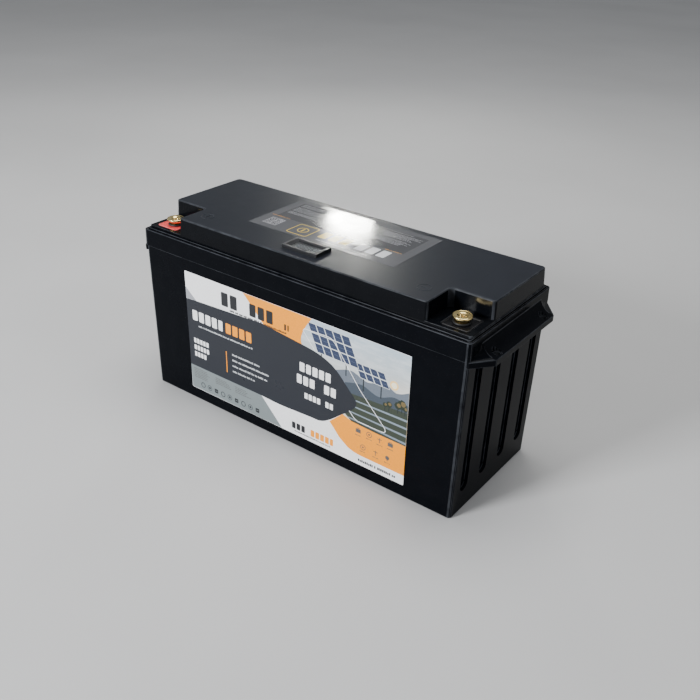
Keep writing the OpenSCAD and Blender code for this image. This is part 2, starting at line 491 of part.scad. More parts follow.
busbar_set(-1, 2);  // busbars_front
busbar_set(1, 1);  // busbars_back
stud_washers();
busbar_nuts();
cable_positive();
cable_bms_negative();
cable_negative();
cable_lugs();
meter_lead();
sense_lugs();
sense_wires();
harness_plugs();
harness_clips();
bms_heatsink();
bms_board();
bms_parts();
bms_busbars();
bms_screws();
wireless_module();
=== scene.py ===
import math
import random

import bmesh
import bpy
from mathutils import Matrix, Vector


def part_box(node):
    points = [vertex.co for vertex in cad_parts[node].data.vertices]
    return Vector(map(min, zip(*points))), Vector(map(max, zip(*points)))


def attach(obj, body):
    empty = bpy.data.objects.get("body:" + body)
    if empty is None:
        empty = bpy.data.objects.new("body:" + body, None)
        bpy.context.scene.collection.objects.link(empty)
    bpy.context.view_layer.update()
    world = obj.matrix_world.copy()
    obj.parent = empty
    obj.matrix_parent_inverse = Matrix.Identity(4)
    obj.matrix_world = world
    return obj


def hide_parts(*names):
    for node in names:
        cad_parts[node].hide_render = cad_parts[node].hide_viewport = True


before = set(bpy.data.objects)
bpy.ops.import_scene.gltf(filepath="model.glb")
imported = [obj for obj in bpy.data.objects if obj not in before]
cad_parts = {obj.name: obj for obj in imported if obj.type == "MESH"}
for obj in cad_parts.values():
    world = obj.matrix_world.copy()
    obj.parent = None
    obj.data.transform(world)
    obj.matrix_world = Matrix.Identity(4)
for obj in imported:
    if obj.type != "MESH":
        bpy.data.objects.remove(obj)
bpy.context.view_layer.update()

RND = random.Random(11)
MM = 0.001

# ------------------------------------------------------------------ numbers
# The same numbers as the design's own, in millimetres, some read from the CAD parts' boxes.
case_lo, case_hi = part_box("case")
LIP_X = case_hi.x * 1000                 # 242.5
CW = case_hi.y * 1000                    # 85
RIM_Z = case_hi.z * 1000                 # 212
lid_lo, lid_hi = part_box("lid")
CL = lid_hi.x * 1000 + 3.3               # 225.6
TOP_Z = 236.0
BL, BW = CL - 1.3, CW - 1.3
BL0, BW0 = BL - 2.8, BW - 1.2
COLLAR_Z = 191.0
LIP_Y = 62.0
RECESS_X, RECESS_Z = 170.0, 216.0
PX, PY = CL - 5.1, CW - 8.2
NY = -(PY + 0.9 - 44.0)
TX = (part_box("terminal_pad_negative")[0].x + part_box("terminal_pad_negative")[1].x) * 500
TY = (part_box("terminal_pad_negative")[0].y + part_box("terminal_pad_negative")[1].y) * 500
END_A = math.atan(2.8 / 191.0)
SIDE_T = 1.2 / 191.0


# ------------------------------------------------------------------ mesh helpers
def corner(a, p, b, r, n):
    a, p, b = Vector(a), Vector(p), Vector(b)
    u, w = (a - p).normalized(), (b - p).normalized()
    g = math.acos(max(-1.0, min(1.0, u.dot(w))))
    t = r / math.tan(g / 2)
    c = p + (u + w).normalized() * (r / math.sin(g / 2))
    s, e = p + u * t, p + w * t
    a0, a1 = math.atan2(s.y - c.y, s.x - c.x), math.atan2(e.y - c.y, e.x - c.x)
    d = (a1 - a0 + 3 * math.pi) % (2 * math.pi) - math.pi
    return [(c.x + r * math.cos(a0 + d * k / n), c.y + r * math.sin(a0 + d * k / n)) for k in range(n + 1)]


def rounded(P, R, n=8):
    if not hasattr(R, "__len__"):
        R = [R] * len(P)
    out = []
    for i, p in enumerate(P):
        if R[i] <= 0:
            out.append((p[0], p[1]))
        else:
            out += corner(P[i - 1], p, P[(i + 1) % len(P)], R[i], n)
    return out


def rect(x, y, r, n=8, cx=0.0, cy=0.0):
    return rounded([(cx - x, cy - y), (cx + x, cy - y), (cx + x, cy + y), (cx - x, cy + y)], r, n)


def at(P, z):
    return [(p[0], p[1], z) for p in P]


def loft(bm, rings, caps=(True, True), ring_closed=False, mat=0):
    vs = [[bm.verts.new(Vector(p) * MM) for p in ring] for ring in rings]
    m = len(rings[0])
    pairs = list(zip(vs, vs[1:])) + ([(vs[-1], vs[0])] if ring_closed else [])
    faces = []
    for a, b in pairs:
        for i in range(m):
            j = (i + 1) % m
            faces.append(bm.faces.new((a[i], a[j], b[j], b[i])))
    if not ring_closed:
        if caps[0]:
            faces.append(bm.faces.new(list(reversed(vs[0]))))
        if caps[1]:
            faces.append(bm.faces.new(vs[-1]))
    for f in faces:
        f.material_index = mat
    return faces


def lathe(bm, prof, n=96, cx=0.0, cy=0.0, closed=False, wob=None, mat=0):
    """prof is a list of (r, z); r 0 at an end closes it. wob(i, a, r, z) may move a point."""
    rings = []
    for i, (r, z) in enumerate(prof):
        ring = []
        for k in range(n):
            a = 2 * math.pi * k / n
            rr, zz = (r, z) if wob is None else wob(i, a, r, z)
            ring.append((cx + rr * math.cos(a), cy + rr * math.sin(a), zz))
        rings.append(ring)
    return loft(bm, rings, (not closed, not closed), closed, mat)


def fillet(z, r, up=True, n=4):
    """(inset, z) pairs of a quarter round that ends at height z."""
    out = []
    for k in range(n + 1):
        a = math.pi / 2 * k / n
        out.append((r * (1 - math.cos(a)), z - r + r * math.sin(a) if up else z + r - r * math.sin(a)))
    return out


def to_object(bm, name, mats=()):
    bmesh.ops.recalc_face_normals(bm, faces=bm.faces)
    me = bpy.data.meshes.new(name)
    bm.to_mesh(me)
    bm.free()
    ob = bpy.data.objects.new(name, me)
    bpy.context.scene.collection.objects.link(ob)
    for m in mats:
        me.materials.append(m)
    return ob


def solid(name, build):
    bm = bmesh.new()
    build(bm)
    return to_object(bm, name)


def boolean(base, cutter, op, solver="EXACT"):
    m = base.modifiers.new("b", "BOOLEAN")
    m.operation, m.object, m.solver = op, cutter, solver
    if solver == "EXACT":
        m.use_self = False
    dg = bpy.context.evaluated_depsgraph_get()
    dg.update()
    me = bpy.data.meshes.new_from_object(base.evaluated_get(dg))
    base.modifiers.clear()
    old = base.data
    base.data = me
    bpy.data.meshes.remove(old)
    bpy.data.objects.remove(cutter, do_unlink=True)


def bevel_where(ob, test, width, segments=2, angle=32):
    bm = bmesh.new()
    bm.from_mesh(ob.data)
    bmesh.ops.remove_doubles(bm, verts=bm.verts, dist=2e-6)
    bmesh.ops.dissolve_degenerate(bm, edges=bm.edges, dist=1e-6)
    bmesh.ops.dissolve_limit(bm, angle_limit=math.radians(0.6), verts=bm.verts, edges=bm.edges, delimit={"MATERIAL"})
    lim = math.radians(angle)
    picked = []
    for e in bm.edges:
        if len(e.link_faces) != 2:
            continue
        if e.calc_face_angle(0) > lim and test((e.verts[0].co + e.verts[1].co) / 2 * 1000, e):
            picked.append(e)
    bmesh.ops.bevel(bm, geom=picked, offset=width * MM, offset_type="OFFSET", segments=segments, profile=0.5,
                    affect="EDGES", clamp_overlap=True, loop_slide=True)
    bm.to_mesh(ob.data)
    bm.free()
    return len(picked)


def finish_mesh(ob, mats, sharp=38, weighted=True, edge_attr=True, narrow=1.6):
    """Sharp edges by angle, smooth faces, and a face attribute that says which faces are edge rounds."""
    me = ob.data
    me.materials.clear()
    for m in mats:
        me.materials.append(m)
    bm = bmesh.new()
    bm.from_mesh(me)
    bmesh.ops.recalc_face_normals(bm, faces=bm.faces)
    lim = math.radians(sharp)
    for e in bm.edges:
        e.smooth = len(e.link_faces) == 2 and e.calc_face_angle(0) < lim
    layer = bm.faces.layers.float.new("edge") if edge_attr else None
    for f in bm.faces:
        f.smooth = True
        if layer is not None:
            short = min(e.calc_length() for e in f.edges) * 1000
            bend = max([e.calc_face_angle(0) for e in f.edges if len(e.link_faces) == 2] or [0])
            f[layer] = 1.0 if short < narrow and bend > math.radians(9) and len(f.verts) <= 4 else 0.0
    bm.to_mesh(me)
    bm.free()
    if weighted:
        w = ob.modifiers.new("normals", "WEIGHTED_NORMAL")
        w.keep_sharp = True
        w.mode = "FACE_AREA_WITH_ANGLE"
    return ob


# ------------------------------------------------------------------ material helpers
def mat_base(name):
    m = bpy.data.materials.new(name)
    m.use_nodes = True
    nt = m.node_tree
    nt.nodes.clear()
    out = nt.nodes.new("ShaderNodeOutputMaterial")
    p = nt.nodes.new("ShaderNodeBsdfPrincipled")
    nt.links.new(p.outputs["BSDF"], out.inputs["Surface"])
    return m, nt, p


def node(nt, kind, inputs=None, **props):
    n = nt.nodes.new(kind)
    for k, v in props.items():
        setattr(n, k, v)
    for k, v in (inputs or {}).items():
        s = n.inputs[k]
        if hasattr(v, "is_output") or isinstance(v, bpy.types.NodeSocket):
            nt.links.new(v, s)
        else:
            s.default_value = v
    return n


def coords(nt, scale=(1, 1, 1), rot=(0, 0, 0)):
    c = nt.nodes.new("ShaderNodeTexCoord")
    m = node(nt, "ShaderNodeMapping", {"Vector": c.outputs["Object"], "Scale": scale, "Rotation": rot})
    return m.outputs["Vector"]


def noise(nt, vec, scale, detail=4.0, rough=0.5):
    return node(nt, "ShaderNodeTexNoise", {"Vector": vec, "Scale": scale, "Detail": detail, "Roughness": rough}).outputs["Fac"]


def mapr(nt, val, a, b, c, d):
    return node(nt, "ShaderNodeMapRange", {"Value": val, "From Min": a, "From Max": b, "To Min": c, "To Max": d}).outputs["Result"]


def mth(nt, op, a, b=0.0):
    n = nt.nodes.new("ShaderNodeMath")
    n.operation = op
    for i, v in enumerate((a, b)):
        if isinstance(v, bpy.types.NodeSocket):
            nt.links.new(v, n.inputs[i])
        else:
            n.inputs[i].default_value = v
    return n.outputs[0]


def mix(nt, fac, a, b):
    n = nt.nodes.new("ShaderNodeMix")
    n.data_type = "RGBA"
    for s, v in ((n.inputs[0], fac), (n.inputs[6], a), (n.inputs[7], b)):
        if isinstance(v, bpy.types.NodeSocket):
            nt.links.new(v, s)
        else:
            s.default_value = v if not isinstance(v, tuple) else (*v, 1.0)[:4]
    return n.outputs[2]


def bump(nt, height, dist, strength=1.0, normal=None):
    n = node(nt, "ShaderNodeBump", {"Height": height, "Distance": dist, "Strength": strength})
    if normal is not None:
        nt.links.new(normal, n.inputs["Normal"])
    return n.outputs["Normal"]


def plastic(name, col, rough, spread=0.08, wave=0.00012, grain=0.0, grain_scale=2600.0, scratch=0.35, wear_and_edge_highlight=0.5,
            dust=0.35, coat=0.0, ior=1.46, edge_highlight_col=None, spec=0.5):
    """Moulded plastic: slow waviness, a fine grain, hairline scratches, dust, and rubbed edges whose lighter colour is
    partly a painted edge highlight.
    """
    m, nt, p = mat_base(name)
    v = coords(nt)
    slow = noise(nt, v, 9.0, 2.0)
    mid = noise(nt, v, 60.0, 5.0, 0.6)
    fine = noise(nt, v, grain_scale, 2.0)
    s1 = noise(nt, coords(nt, (3, 700, 420), (0.3, 0.25, 0.5)), 1.0, 3.0, 0.6)
    s2 = noise(nt, coords(nt, (520, 4, 610), (0.2, -0.45, 0.9)), 1.0, 3.0, 0.6)
    sc = mth(nt, "MAXIMUM", mapr(nt, s1, 0.67, 0.72, 0.0, 1.0), mapr(nt, s2, 0.67, 0.72, 0.0, 1.0))
    patch = mapr(nt, noise(nt, v, 22.0, 3.0), 0.48, 0.66, 0.0, 1.0)
    sc = mth(nt, "MULTIPLY", sc, patch)
    specks = mapr(nt, noise(nt, v, 780.0, 1.0), 0.70, 0.75, 0.0, 1.0)
    at_edge = node(nt, "ShaderNodeAttribute", attribute_name="edge").outputs["Fac"]
    rubbed_and_edge_highlight = mth(nt, "MULTIPLY", at_edge, mapr(nt, noise(nt, v, 60.0, 5.0, 0.6), 0.22, 0.66, 0.0, 1.0))
    r = mapr(nt, mid, 0.3, 0.7, rough - spread, rough + spread)
    r = mth(nt, "ADD", r, mth(nt, "MULTIPLY", sc, scratch))
    r = mth(nt, "ADD", r, mth(nt, "MULTIPLY", rubbed_and_edge_highlight, 0.15 * wear_and_edge_highlight))
    nt.links.new(r, p.inputs["Roughness"])
    lift = tuple(min(1.0, c * 1.22 + 0.0006) for c in col)
    c1 = mix(nt, mapr(nt, mid, 0.35, 0.7, 0.0, 0.8), col, lift)
    # edge rounds get a lighter colour: a painted edge highlight, with rubbed wear in the roughness
    wc = edge_highlight_col or tuple(min(1.0, c * 1.4 + 0.05) for c in col)
    c2 = mix(nt, mth(nt, "MULTIPLY", rubbed_and_edge_highlight, wear_and_edge_highlight), c1, wc)
    c3 = mix(nt, mth(nt, "MULTIPLY", specks, dust), c2, tuple(min(1.0, c * 0.7 + 0.10) for c in col))
    nt.links.new(c3, p.inputs["Base Color"])
    n = bump(nt, slow, wave)
    if grain:
        n = bump(nt, fine, grain, 1.0, n)
    nt.links.new(n, p.inputs["Normal"])
    p.inputs["IOR"].default_value = ior
    p.inputs["Specular IOR Level"].default_value = spec
    if coat:
        p.inputs["Coat Weight"].default_value = coat
        p.inputs["Coat Roughness"].default_value = 0.06
    return m


def metal(name, col, rough, brushed=(1, 1, 1), bumpy=0.00001, tarnish=None, spread=0.08):
    m, nt, p = mat_base(name)
    v = coords(nt, brushed)
    a = noise(nt, v, 260.0, 4.0, 0.6)
    b = noise(nt, coords(nt), 45.0, 5.0, 0.6)
    r = mth(nt, "ADD", mapr(nt, a, 0.3, 0.7, rough - spread, rough + spread), mapr(nt, b, 0.4, 0.7, 0.0, 0.10))
    nt.links.new(r, p.inputs["Roughness"])
    c = mix(nt, mapr(nt, b, 0.45, 0.75, 0.0, 0.7), col, tarnish or tuple(x * 0.72 for x in col))
    nt.links.new(c, p.inputs["Base Color"])
    p.inputs["Metallic"].default_value = 1.0
    nt.links.new(bump(nt, a, bumpy), p.inputs["Normal"])
    return m


def printed(name, col, rough=0.32, mottle=0.06, film=0.000012, coat=0.0):
    """Ink under a clear film: a very slight mottle and the film's orange peel."""
    m, nt, p = mat_base(name)
    v = coords(nt)
    a = noise(nt, v, 420.0, 4.0, 0.6)
    b = noise(nt, v, 30.0, 3.0)
    c = mix(nt, mapr(nt, a, 0.3, 0.7, 0.0, 1.0), tuple(max(0.0, x * (1 - mottle)) for x in col), tuple(min(1.0, x * (1 + mottle)) for x in col))
    nt.links.new(c, p.inputs["Base Color"])
    nt.links.new(mapr(nt, b, 0.3, 0.7, rough - 0.05, rough + 0.05), p.inputs["Roughness"])
    n = bump(nt, noise(nt, v, 260.0, 2.0), film)
    n = bump(nt, b, 0.00004, 1.0, n)
    nt.links.new(n, p.inputs["Normal"])
    p.inputs["Specular IOR Level"].default_value = 0.30 if name.startswith(("ink", "art")) else 0.5
    if coat:
        p.inputs["Coat Weight"].default_value = coat
        p.inputs["Coat Roughness"].default_value = 0.05
    return m


def soft(name, col, rough=0.85, scale=700.0, depth=0.0001):
    m, nt, p = mat_base(name)
    v = coords(nt)
    a = noise(nt, v, scale, 3.0, 0.6)
    vo = node(nt, "ShaderNodeTexVoronoi", {"Vector": v, "Scale": scale}).outputs["Distance"]
    nt.links.new(mix(nt, mapr(nt, a, 0.3, 0.7, 0, 1), tuple(x * 0.8 for x in col), tuple(min(1.0, x * 1.25) for x in col)), p.inputs["Base Color"])
    nt.links.new(mapr(nt, a, 0.3, 0.7, rough - 0.06, min(1.0, rough + 0.06)), p.inputs["Roughness"])
    nt.links.new(bump(nt, vo, depth), p.inputs["Normal"])
    return m


M = {}
M["case"] = plastic("case_black_abs", (0.0018, 0.0023, 0.0036), 0.16, 0.03, wave=0.00010, grain=0.000002, scratch=0.10, wear_and_edge_highlight=0.7, dust=0.08, spec=0.04, edge_highlight_col=(0.060, 0.065, 0.075))
# the top's lighter, bluish base colour is a painted sheen of the light from above; the walls use lid_gloss
M["lid"] = plastic("lid_black_abs", (0.0125, 0.0145, 0.0195), 0.33, 0.035, wave=0.00010, grain=0.000006, scratch=0.06, wear_and_edge_highlight=0.6, dust=0.12, spec=0.10, edge_highlight_col=(0.070, 0.075, 0.085))
M["lid_gloss"] = plastic("lid_gloss_abs", (0.0022, 0.0027, 0.0038), 0.20, 0.03, wave=0.00008, grain=0.000001, scratch=0.10, wear_and_edge_highlight=0.7, dust=0.08, spec=0.07, edge_highlight_col=(0.060, 0.065, 0.075))
# the pink edge colour of the red pad is a painted highlight on its rounded rim
M["pad_red"] = plastic("pad_red_abs", (0.74, 0.060, 0.058), 0.24, 0.05, wave=0.00004, scratch=0.1, wear_and_edge_highlight=0.4, dust=0.10, edge_highlight_col=(0.80, 0.30, 0.28))
M["pad_black"] = plastic("pad_black_abs", (0.006, 0.006, 0.007), 0.20, 0.04, wave=0.00004, scratch=0.1, wear_and_edge_highlight=0.3, dust=0.2, spec=0.4)
M["meter"] = plastic("meter_abs", (0.010, 0.0105, 0.012), 0.34, 0.05, wave=0.00003, grain=0.000006, grain_scale=5200.0, scratch=0.1, wear_and_edge_highlight=0.4, dust=0.2, spec=0.45)
M["brass"] = metal("terminal_brass", (0.88, 0.70, 0.32), 0.15, (4, 4, 4), 0.0000005, (0.66, 0.45, 0.15), 0.05)
M["oring"] = soft("o_ring_rubber", (0.012, 0.012, 0.012), 0.55, 1500, 0.00002)
M["seal"] = soft("seal_bead", (0.010, 0.010, 0.011), 0.45, 500, 0.00006)


# ------------------------------------------------------------------ case
def ring_xy(x, y, r, z, n=8):
    return at(rect(x, y, r, n), z)


def body_x(z):
    return BL0 + (BL - BL0) * z / 191.0


def body_y(z):
    return BW0 + (BW - BW0) * z / 191.0


def case_outer(bm):
    rings = []
    for i, z in reversed(fillet(0.0, 1.5, False, 4)):
        rings.append(ring_xy(body_x(z) - i, body_y(z) - i, 4.2 - i * 0.6, z))
    rings.append(ring_xy(body_x(60), body_y(60), 4.2, 60))
    rings.append(ring_xy(body_x(125), body_y(125), 4.2, 125))
    for d, z in ((0.0, 190.3), (0.06, 190.65), (0.30, 190.92), (0.62, 191.0)):
        rings.append(ring_xy(BL + d, BW + d, 4.2 + d, z))
    for i, z in reversed(fillet(191.0, 0.55, False, 4)):
        rings.append(ring_xy(CL - i, CW - i, 4.8 - i * 0.5, z))
    for i, z in fillet(RIM_Z, 0.8, True, 4):
        rings.append(ring_xy(CL - 0.25 - i, CW - 0.25 - i, 4.6 - i, z))
    loft(bm, rings)


def ledge(s):
    def build(bm):
        cove = [(16.9, 0.9), (14.4, 1.15), (11.6, 1.75), (9.0, 2.7), (6.6, 4.1), (4.5, 5.9), (2.7, 8.1), (1.3, 10.6), (0.3, 13.2), (-0.7, 15.6)]
        rows = []
        for i, z in reversed(fillet(COLLAR_Z - 6.0, 0.6, False, 4)):
            rows.append((16.9 - i, z, CW - 0.6 - i))
        for i, z in fillet(COLLAR_Z + 0.9, 0.7, True, 4)[:-1]:
            rows.append((16.9 - i, z, CW - 0.6 - i * 0.5))
        n = len(cove) - 1
        for k, (d, dz) in enumerate(cove):
            if k == 0:
                rows.append((16.9 - 0.7, COLLAR_Z + 0.9, CW - 1.0))
                continue
            t = (dz - 0.9) / 14.7
            rows.append((d, COLLAR_Z + dz, LIP_Y + 2.0 + (CW - 3.1 - LIP_Y) * (1 - t) ** 1.15))
        rings = []
        for d, z, yl in rows:
            P = [(CL - 3, -yl), (CL - 0.9, -yl), (CL + d, -LIP_Y), (CL + d, LIP_Y), (CL - 0.9, yl), (CL - 3, yl)]
            ra = 3.0 if d > 6 else max(0.3, d * 0.4)
            q = rounded(P, [0, 0, ra, ra, 0, 0], 5)
            q = [(s * x, y) for x, y in q]
            rings.append(at(q if s > 0 else list(reversed(q)), z))
        loft(bm, rings)
    return solid("ledge", build)


def flutes(bm):
    for s in (-1, 1):
        rot = Matrix.Translation(Vector((s * BL0, 0, 0)) * MM) @ Matrix.Rotation(s * END_A, 4, "Y")
        for y in (-60, -20, 20, 60):
            start = len(bm.verts)
            rings = []
            for d, g in ((9.0, 0.9), (-4.0 + 0.8, -0.30), (-4.0 + 0.24, -0.54), (-4.0, -1.1)):
                w = 7.5 + g
                arc = [(y + w * math.cos(a), 26 + 7.5 + w * math.sin(a)) for a in [math.pi + math.pi * k / 14 for k in range(15)]]
                outline = arc + [(y + w, 183 + g), (y - w, 183 + g)]
                rings.append([(s * d, p[0], p[1]) for p in (outline if s > 0 else reversed(outline))])
            loft(bm, rings)
            bm.verts.ensure_lookup_table()
            bmesh.ops.transform(bm, matrix=rot, verts=bm.verts[start:])


def make_case():
    ob = solid("case_shell", case_outer)
    for s in (-1, 1):
        boolean(ob, ledge(s), "UNION")
    boolean(ob, solid("flutes", flutes), "DIFFERENCE")

    def inside(bm):
        rings = [ring_xy(BL0 - 8.2, BW0 - 3, 3, 4.5, 6), ring_xy(BL - 8.2, BW - 3, 3, 198, 6),
                 ring_xy(CL - 8.2, CW - 6.7, 3, 198.6, 6), ring_xy(CL - 6.6, CW - 6.7, 3, 199.4, 6), ring_xy(CL - 6.6, CW - 6.7, 3, 203.5, 6),
                 ring_xy(CL - 2.3, CW - 2.5, 3, 203.5, 6), ring_xy(CL - 2.3, CW - 2.5, 3, RIM_Z - 0.35, 6), ring_xy(CL - 2.2, CW - 2.4, 3.1, RIM_Z - 0.1, 6),
                 ring_xy(CL - 1.9, CW - 2.1, 3.3, RIM_Z + 0.02, 6), ring_xy(CL - 1.9, CW - 2.1, 3.3, RIM_Z + 3, 6)]
        loft(bm, rings)
    boolean(ob, solid("inside", inside), "DIFFERENCE")

    def under(bm):
        for s in (-1, 1):
            for y in (-34, 0, 34):
                P = [(CL - 1.2, 180), (LIP_X - 3.2, 180), (LIP_X - 3.2, 188.0), (LIP_X - 8, 189.6), (LIP_X - 12, 192.0), (CL - 1.2, 196)]
                rings = [[(s * p[0], yy, p[1]) for p in P] for yy in (y - 15.4, y + 15.4)]
                loft(bm, rings)
    boolean(ob, solid("under", under), "DIFFERENCE")

    def sleeves(bm):
        for s in (-1, 1):
            for y in (-50, 50):
                lathe(bm, [(6.2, COLLAR_Z - 6.0), (6.5, COLLAR_Z - 5.7), (6.5, COLLAR_Z + 0.5)], 40, s * (LIP_X - 7), y)
    boolean(ob, solid("sleeves", sleeves), "UNION")

    def holes(bm):
        for s in (-1, 1):
            for y in (-50, 50):
                lathe(bm, [(4.5, 170), (4.5, 184.9), (4.0, 185.5), (4.0, 191.1), (4.5, 191.6), (5.4, 191.6), (5.8, 192.0), (5.8, 212)], 40, s * (LIP_X - 7), y)
    boolean(ob, solid("holes", holes), "DIFFERENCE")

    def panels(bm):
        for i in range(-3, 4):
            for j in (-1, 1):
                loft(bm, [at(rect(26.5 + g, 31.5 + g, 4 + g, 4, i * 58, j * 34.5), z) for g, z in ((0.6, -1.0), (0.3, 0.0), (0.0, 0.5), (-0.3, 1.2))])
    boolean(ob, solid("panels", panels), "DIFFERENCE")

    def wants(p, e):
        ax = abs(p.x)
        on_end = ax > 219 and 20 < p.z < 184.6
        ledge_wall = ax > 224 and 184.2 < p.z < 209 and abs(p.y) < 86
        return on_end or ledge_wall
    bevel_where(ob, wants, 0.45, 2, 38)
    return ob


case = finish_mesh(make_case(), [M["case"]], 40)
case.name = "case_shell"
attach(case, "root")
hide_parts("case")


# ------------------------------------------------------------------ lid
def lid_pts(dx, dy, t, n=6, k=1.0):
    P = [(-(RECESS_X + dx) + t, -(PY + dy) + t), (RECESS_X + dx - t, -(PY + dy) + t), (RECESS_X + dx - t, NY - dy / 2 + t), (PX + dx - t, NY - dy / 2 + t),
         (PX + dx - t, PY + dy - t), (-(PX + dx) + t, PY + dy - t), (-(PX + dx) + t, NY - dy / 2 + t), (-(RECESS_X + dx) + t, NY - dy / 2 + t)]
    c = min(t, 2.4)
    R = [3.2 - c, 3.2 - c, 5 + c, 3.6 - c, 5 - c, 5 - c, 3.6 - c, 5 + c]
    return rounded(P, R, n)


def make_lid():
    def flange(bm):
        rings = [ring_xy(CL - 3.3, CW - 3.5, 3, 205), ring_xy(CL - 3.3, CW - 3.5, 3, 212.9)]
        rings += [ring_xy(CL - 3.3 - i, CW - 3.5 - i, 3 - i, z) for i, z in fillet(213.6, 0.6, True, 4)]
        loft(bm, rings)
    ob = solid("lid_shell", flange)

    def floor(bm):
        rings = [ring_xy(PX + 1.05, PY + 1.45, 3, 212.4), ring_xy(PX + 0.98, PY + 1.42, 3, 215.2)]
        rings += [ring_xy(PX + 0.96 - i, PY + 1.40 - i, 3 - i, z) for i, z in fillet(RECESS_Z, 0.7, True, 4)]
        loft(bm, rings)
    boolean(ob, solid("floor", floor), "UNION")

    def plateau(bm):
        rings = [at(lid_pts(1.0, 1.7, 0), 212.8)]
        rings += [at(lid_pts(0.04, 0.06, i), z) for i, z in fillet(TOP_Z, 1.5, True, 6)]
        loft(bm, rings)
    boolean(ob, solid("plateau", plateau), "UNION")

    def inner(bm):
        rings = [ring_xy(CL - 6.4, CW - 6.6, 3, 200, 4), ring_xy(CL - 6.4, CW - 6.6, 3, 212.6, 4)]
        loft(bm, rings)
    boolean(ob, solid("inner", inner), "DIFFERENCE")

    def inner2(bm):
        P = [(-167, -PY + 3.4), (167, -PY + 3.4), (167, NY + 3), (PX - 3, NY + 3), (PX - 3, PY - 3.2), (-PX + 3, PY - 3.2), (-PX + 3, NY + 3), (-167, NY + 3)]
        loft(bm, [at(P, 206), at(P, 233)])
    boolean(ob, solid("inner2", inner2), "DIFFERENCE")

    def bosses(bm):
        for s in (-1, 1):
            loft(bm, [at(rect(18, 18, 6, 6, s * TX, TY), z) for z in (211, 214.8)])
    boolean(ob, solid("bosses", bosses), "UNION")

    def cuts(bm):
        for s in (-1, 1):
            rings = [at(rect(15.8 + g, 15.8 + g, 3.8 + g, 8, s * TX, TY), z) for g, z in ((0, 214.4), (0, 215.55), (0.12, 215.85), (0.42, 216.02), (0.42, 232))]
            loft(bm, rings)
        loft(bm, [at(rect(22.6, 11.9, 0.8, 4, 0, -52), z) for z in (200, 250)])
    boolean(ob, solid("cuts", cuts), "DIFFERENCE")

    def bores(bm):
        for s in (-1, 1):
            lathe(bm, [(7.15, 200), (7.15, 220)], 48, s * TX, TY)
    boolean(ob, solid("bores", bores), "DIFFERENCE")

    def marks(bm):
        for s in (-1, 1):
            prof = [(6.75, TOP_Z - 0.6), (6.78, TOP_Z + 0.12), (6.92, TOP_Z + 0.32), (7.15, TOP_Z + 0.40), (7.65, TOP_Z + 0.40), (7.88, TOP_Z + 0.32), (8.02, TOP_Z + 0.12), (8.05, TOP_Z - 0.6)]
            lathe(bm, prof, 72, s * 150, -51, closed=True)
            loft(bm, [at(rect(3.6 - i, 0.75 - i, 0.3, 3, s * 150, -51), z) for i, z in ((0, TOP_Z - 0.6), (0.02, TOP_Z + 0.15), (0.1, TOP_Z + 0.33), (0.3, TOP_Z + 0.40))])
    boolean(ob, solid("marks", marks), "UNION")

    def upright(bm):
        loft(bm, [at(rect(0.75 - i, 3.6 - i, 0.3, 3, -150, -51), z) for i, z in ((0, TOP_Z - 0.6), (0.02, TOP_Z + 0.15), (0.1, TOP_Z + 0.335), (0.3, TOP_Z + 0.405))])
    boolean(ob, solid("upright", upright), "UNION")

    def wants(p, e):
        recess = abs(p.x) > 168 and p.y < NY + 2.5 and 214.5 < p.z < 217.2 and not (abs(abs(p.x) - TX) < 17.5 and abs(p.y - TY) < 17.5)
        step = 212.9 < p.z < 214.4 and (abs(p.y) > 77.5 or abs(p.x) > 220.5)
        return recess or step
    bevel_where(ob, wants, 0.35, 2, 30)
    return ob


lid = make_lid()
finish_mesh(lid, [M["lid"], M["lid_gloss"]], 34)
for f in lid.data.polygons:           # the walls are polished, the top is finely grained and gets a lighter base colour, a painted sheen of the light from above
    f.material_index = 0 if (f.normal.z > 0.92 and f.center.z > 0.2345) else 1
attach(lid, "root")
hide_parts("lid")


# ------------------------------------------------------------------ terminals
def make_pad(s, name, mat):
    def build(bm):
        rings = [at(rect(x, x, r, 8, s * TX, TY), z) for x, r, z in (
            (15.5, 3.5, 214.4), (15.5, 3.5, 216.0), (15.42, 3.4, 216.25), (15.18, 3.2, 216.4), (14.72, 2.8, 216.4), (14.45, 2.6, 216.3), (14.3, 2.5, 216.0), (14.25, 2.4, 215.8), (14.0, 2.2, 215.65), (13.6, 2.0, 215.6))]
        loft(bm, rings)
    ob = solid(name, build)

    def hole(bm):
        lathe(bm, [(7.15, 200), (7.15, 215.3), (7.5, 215.62), (7.5, 220)], 64, s * TX, TY)
    boolean(ob, solid("h", hole), "DIFFERENCE")
    finish_mesh(ob, [mat], 34)
    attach(ob, "root")
    return ob


pad_p = make_pad(-1, "terminal_pad_red", M["pad_red"])
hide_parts("terminal_pad_positive")
pad_n = make_pad(1, "terminal_pad_black", M["pad_black"])
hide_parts("terminal_pad_negative")


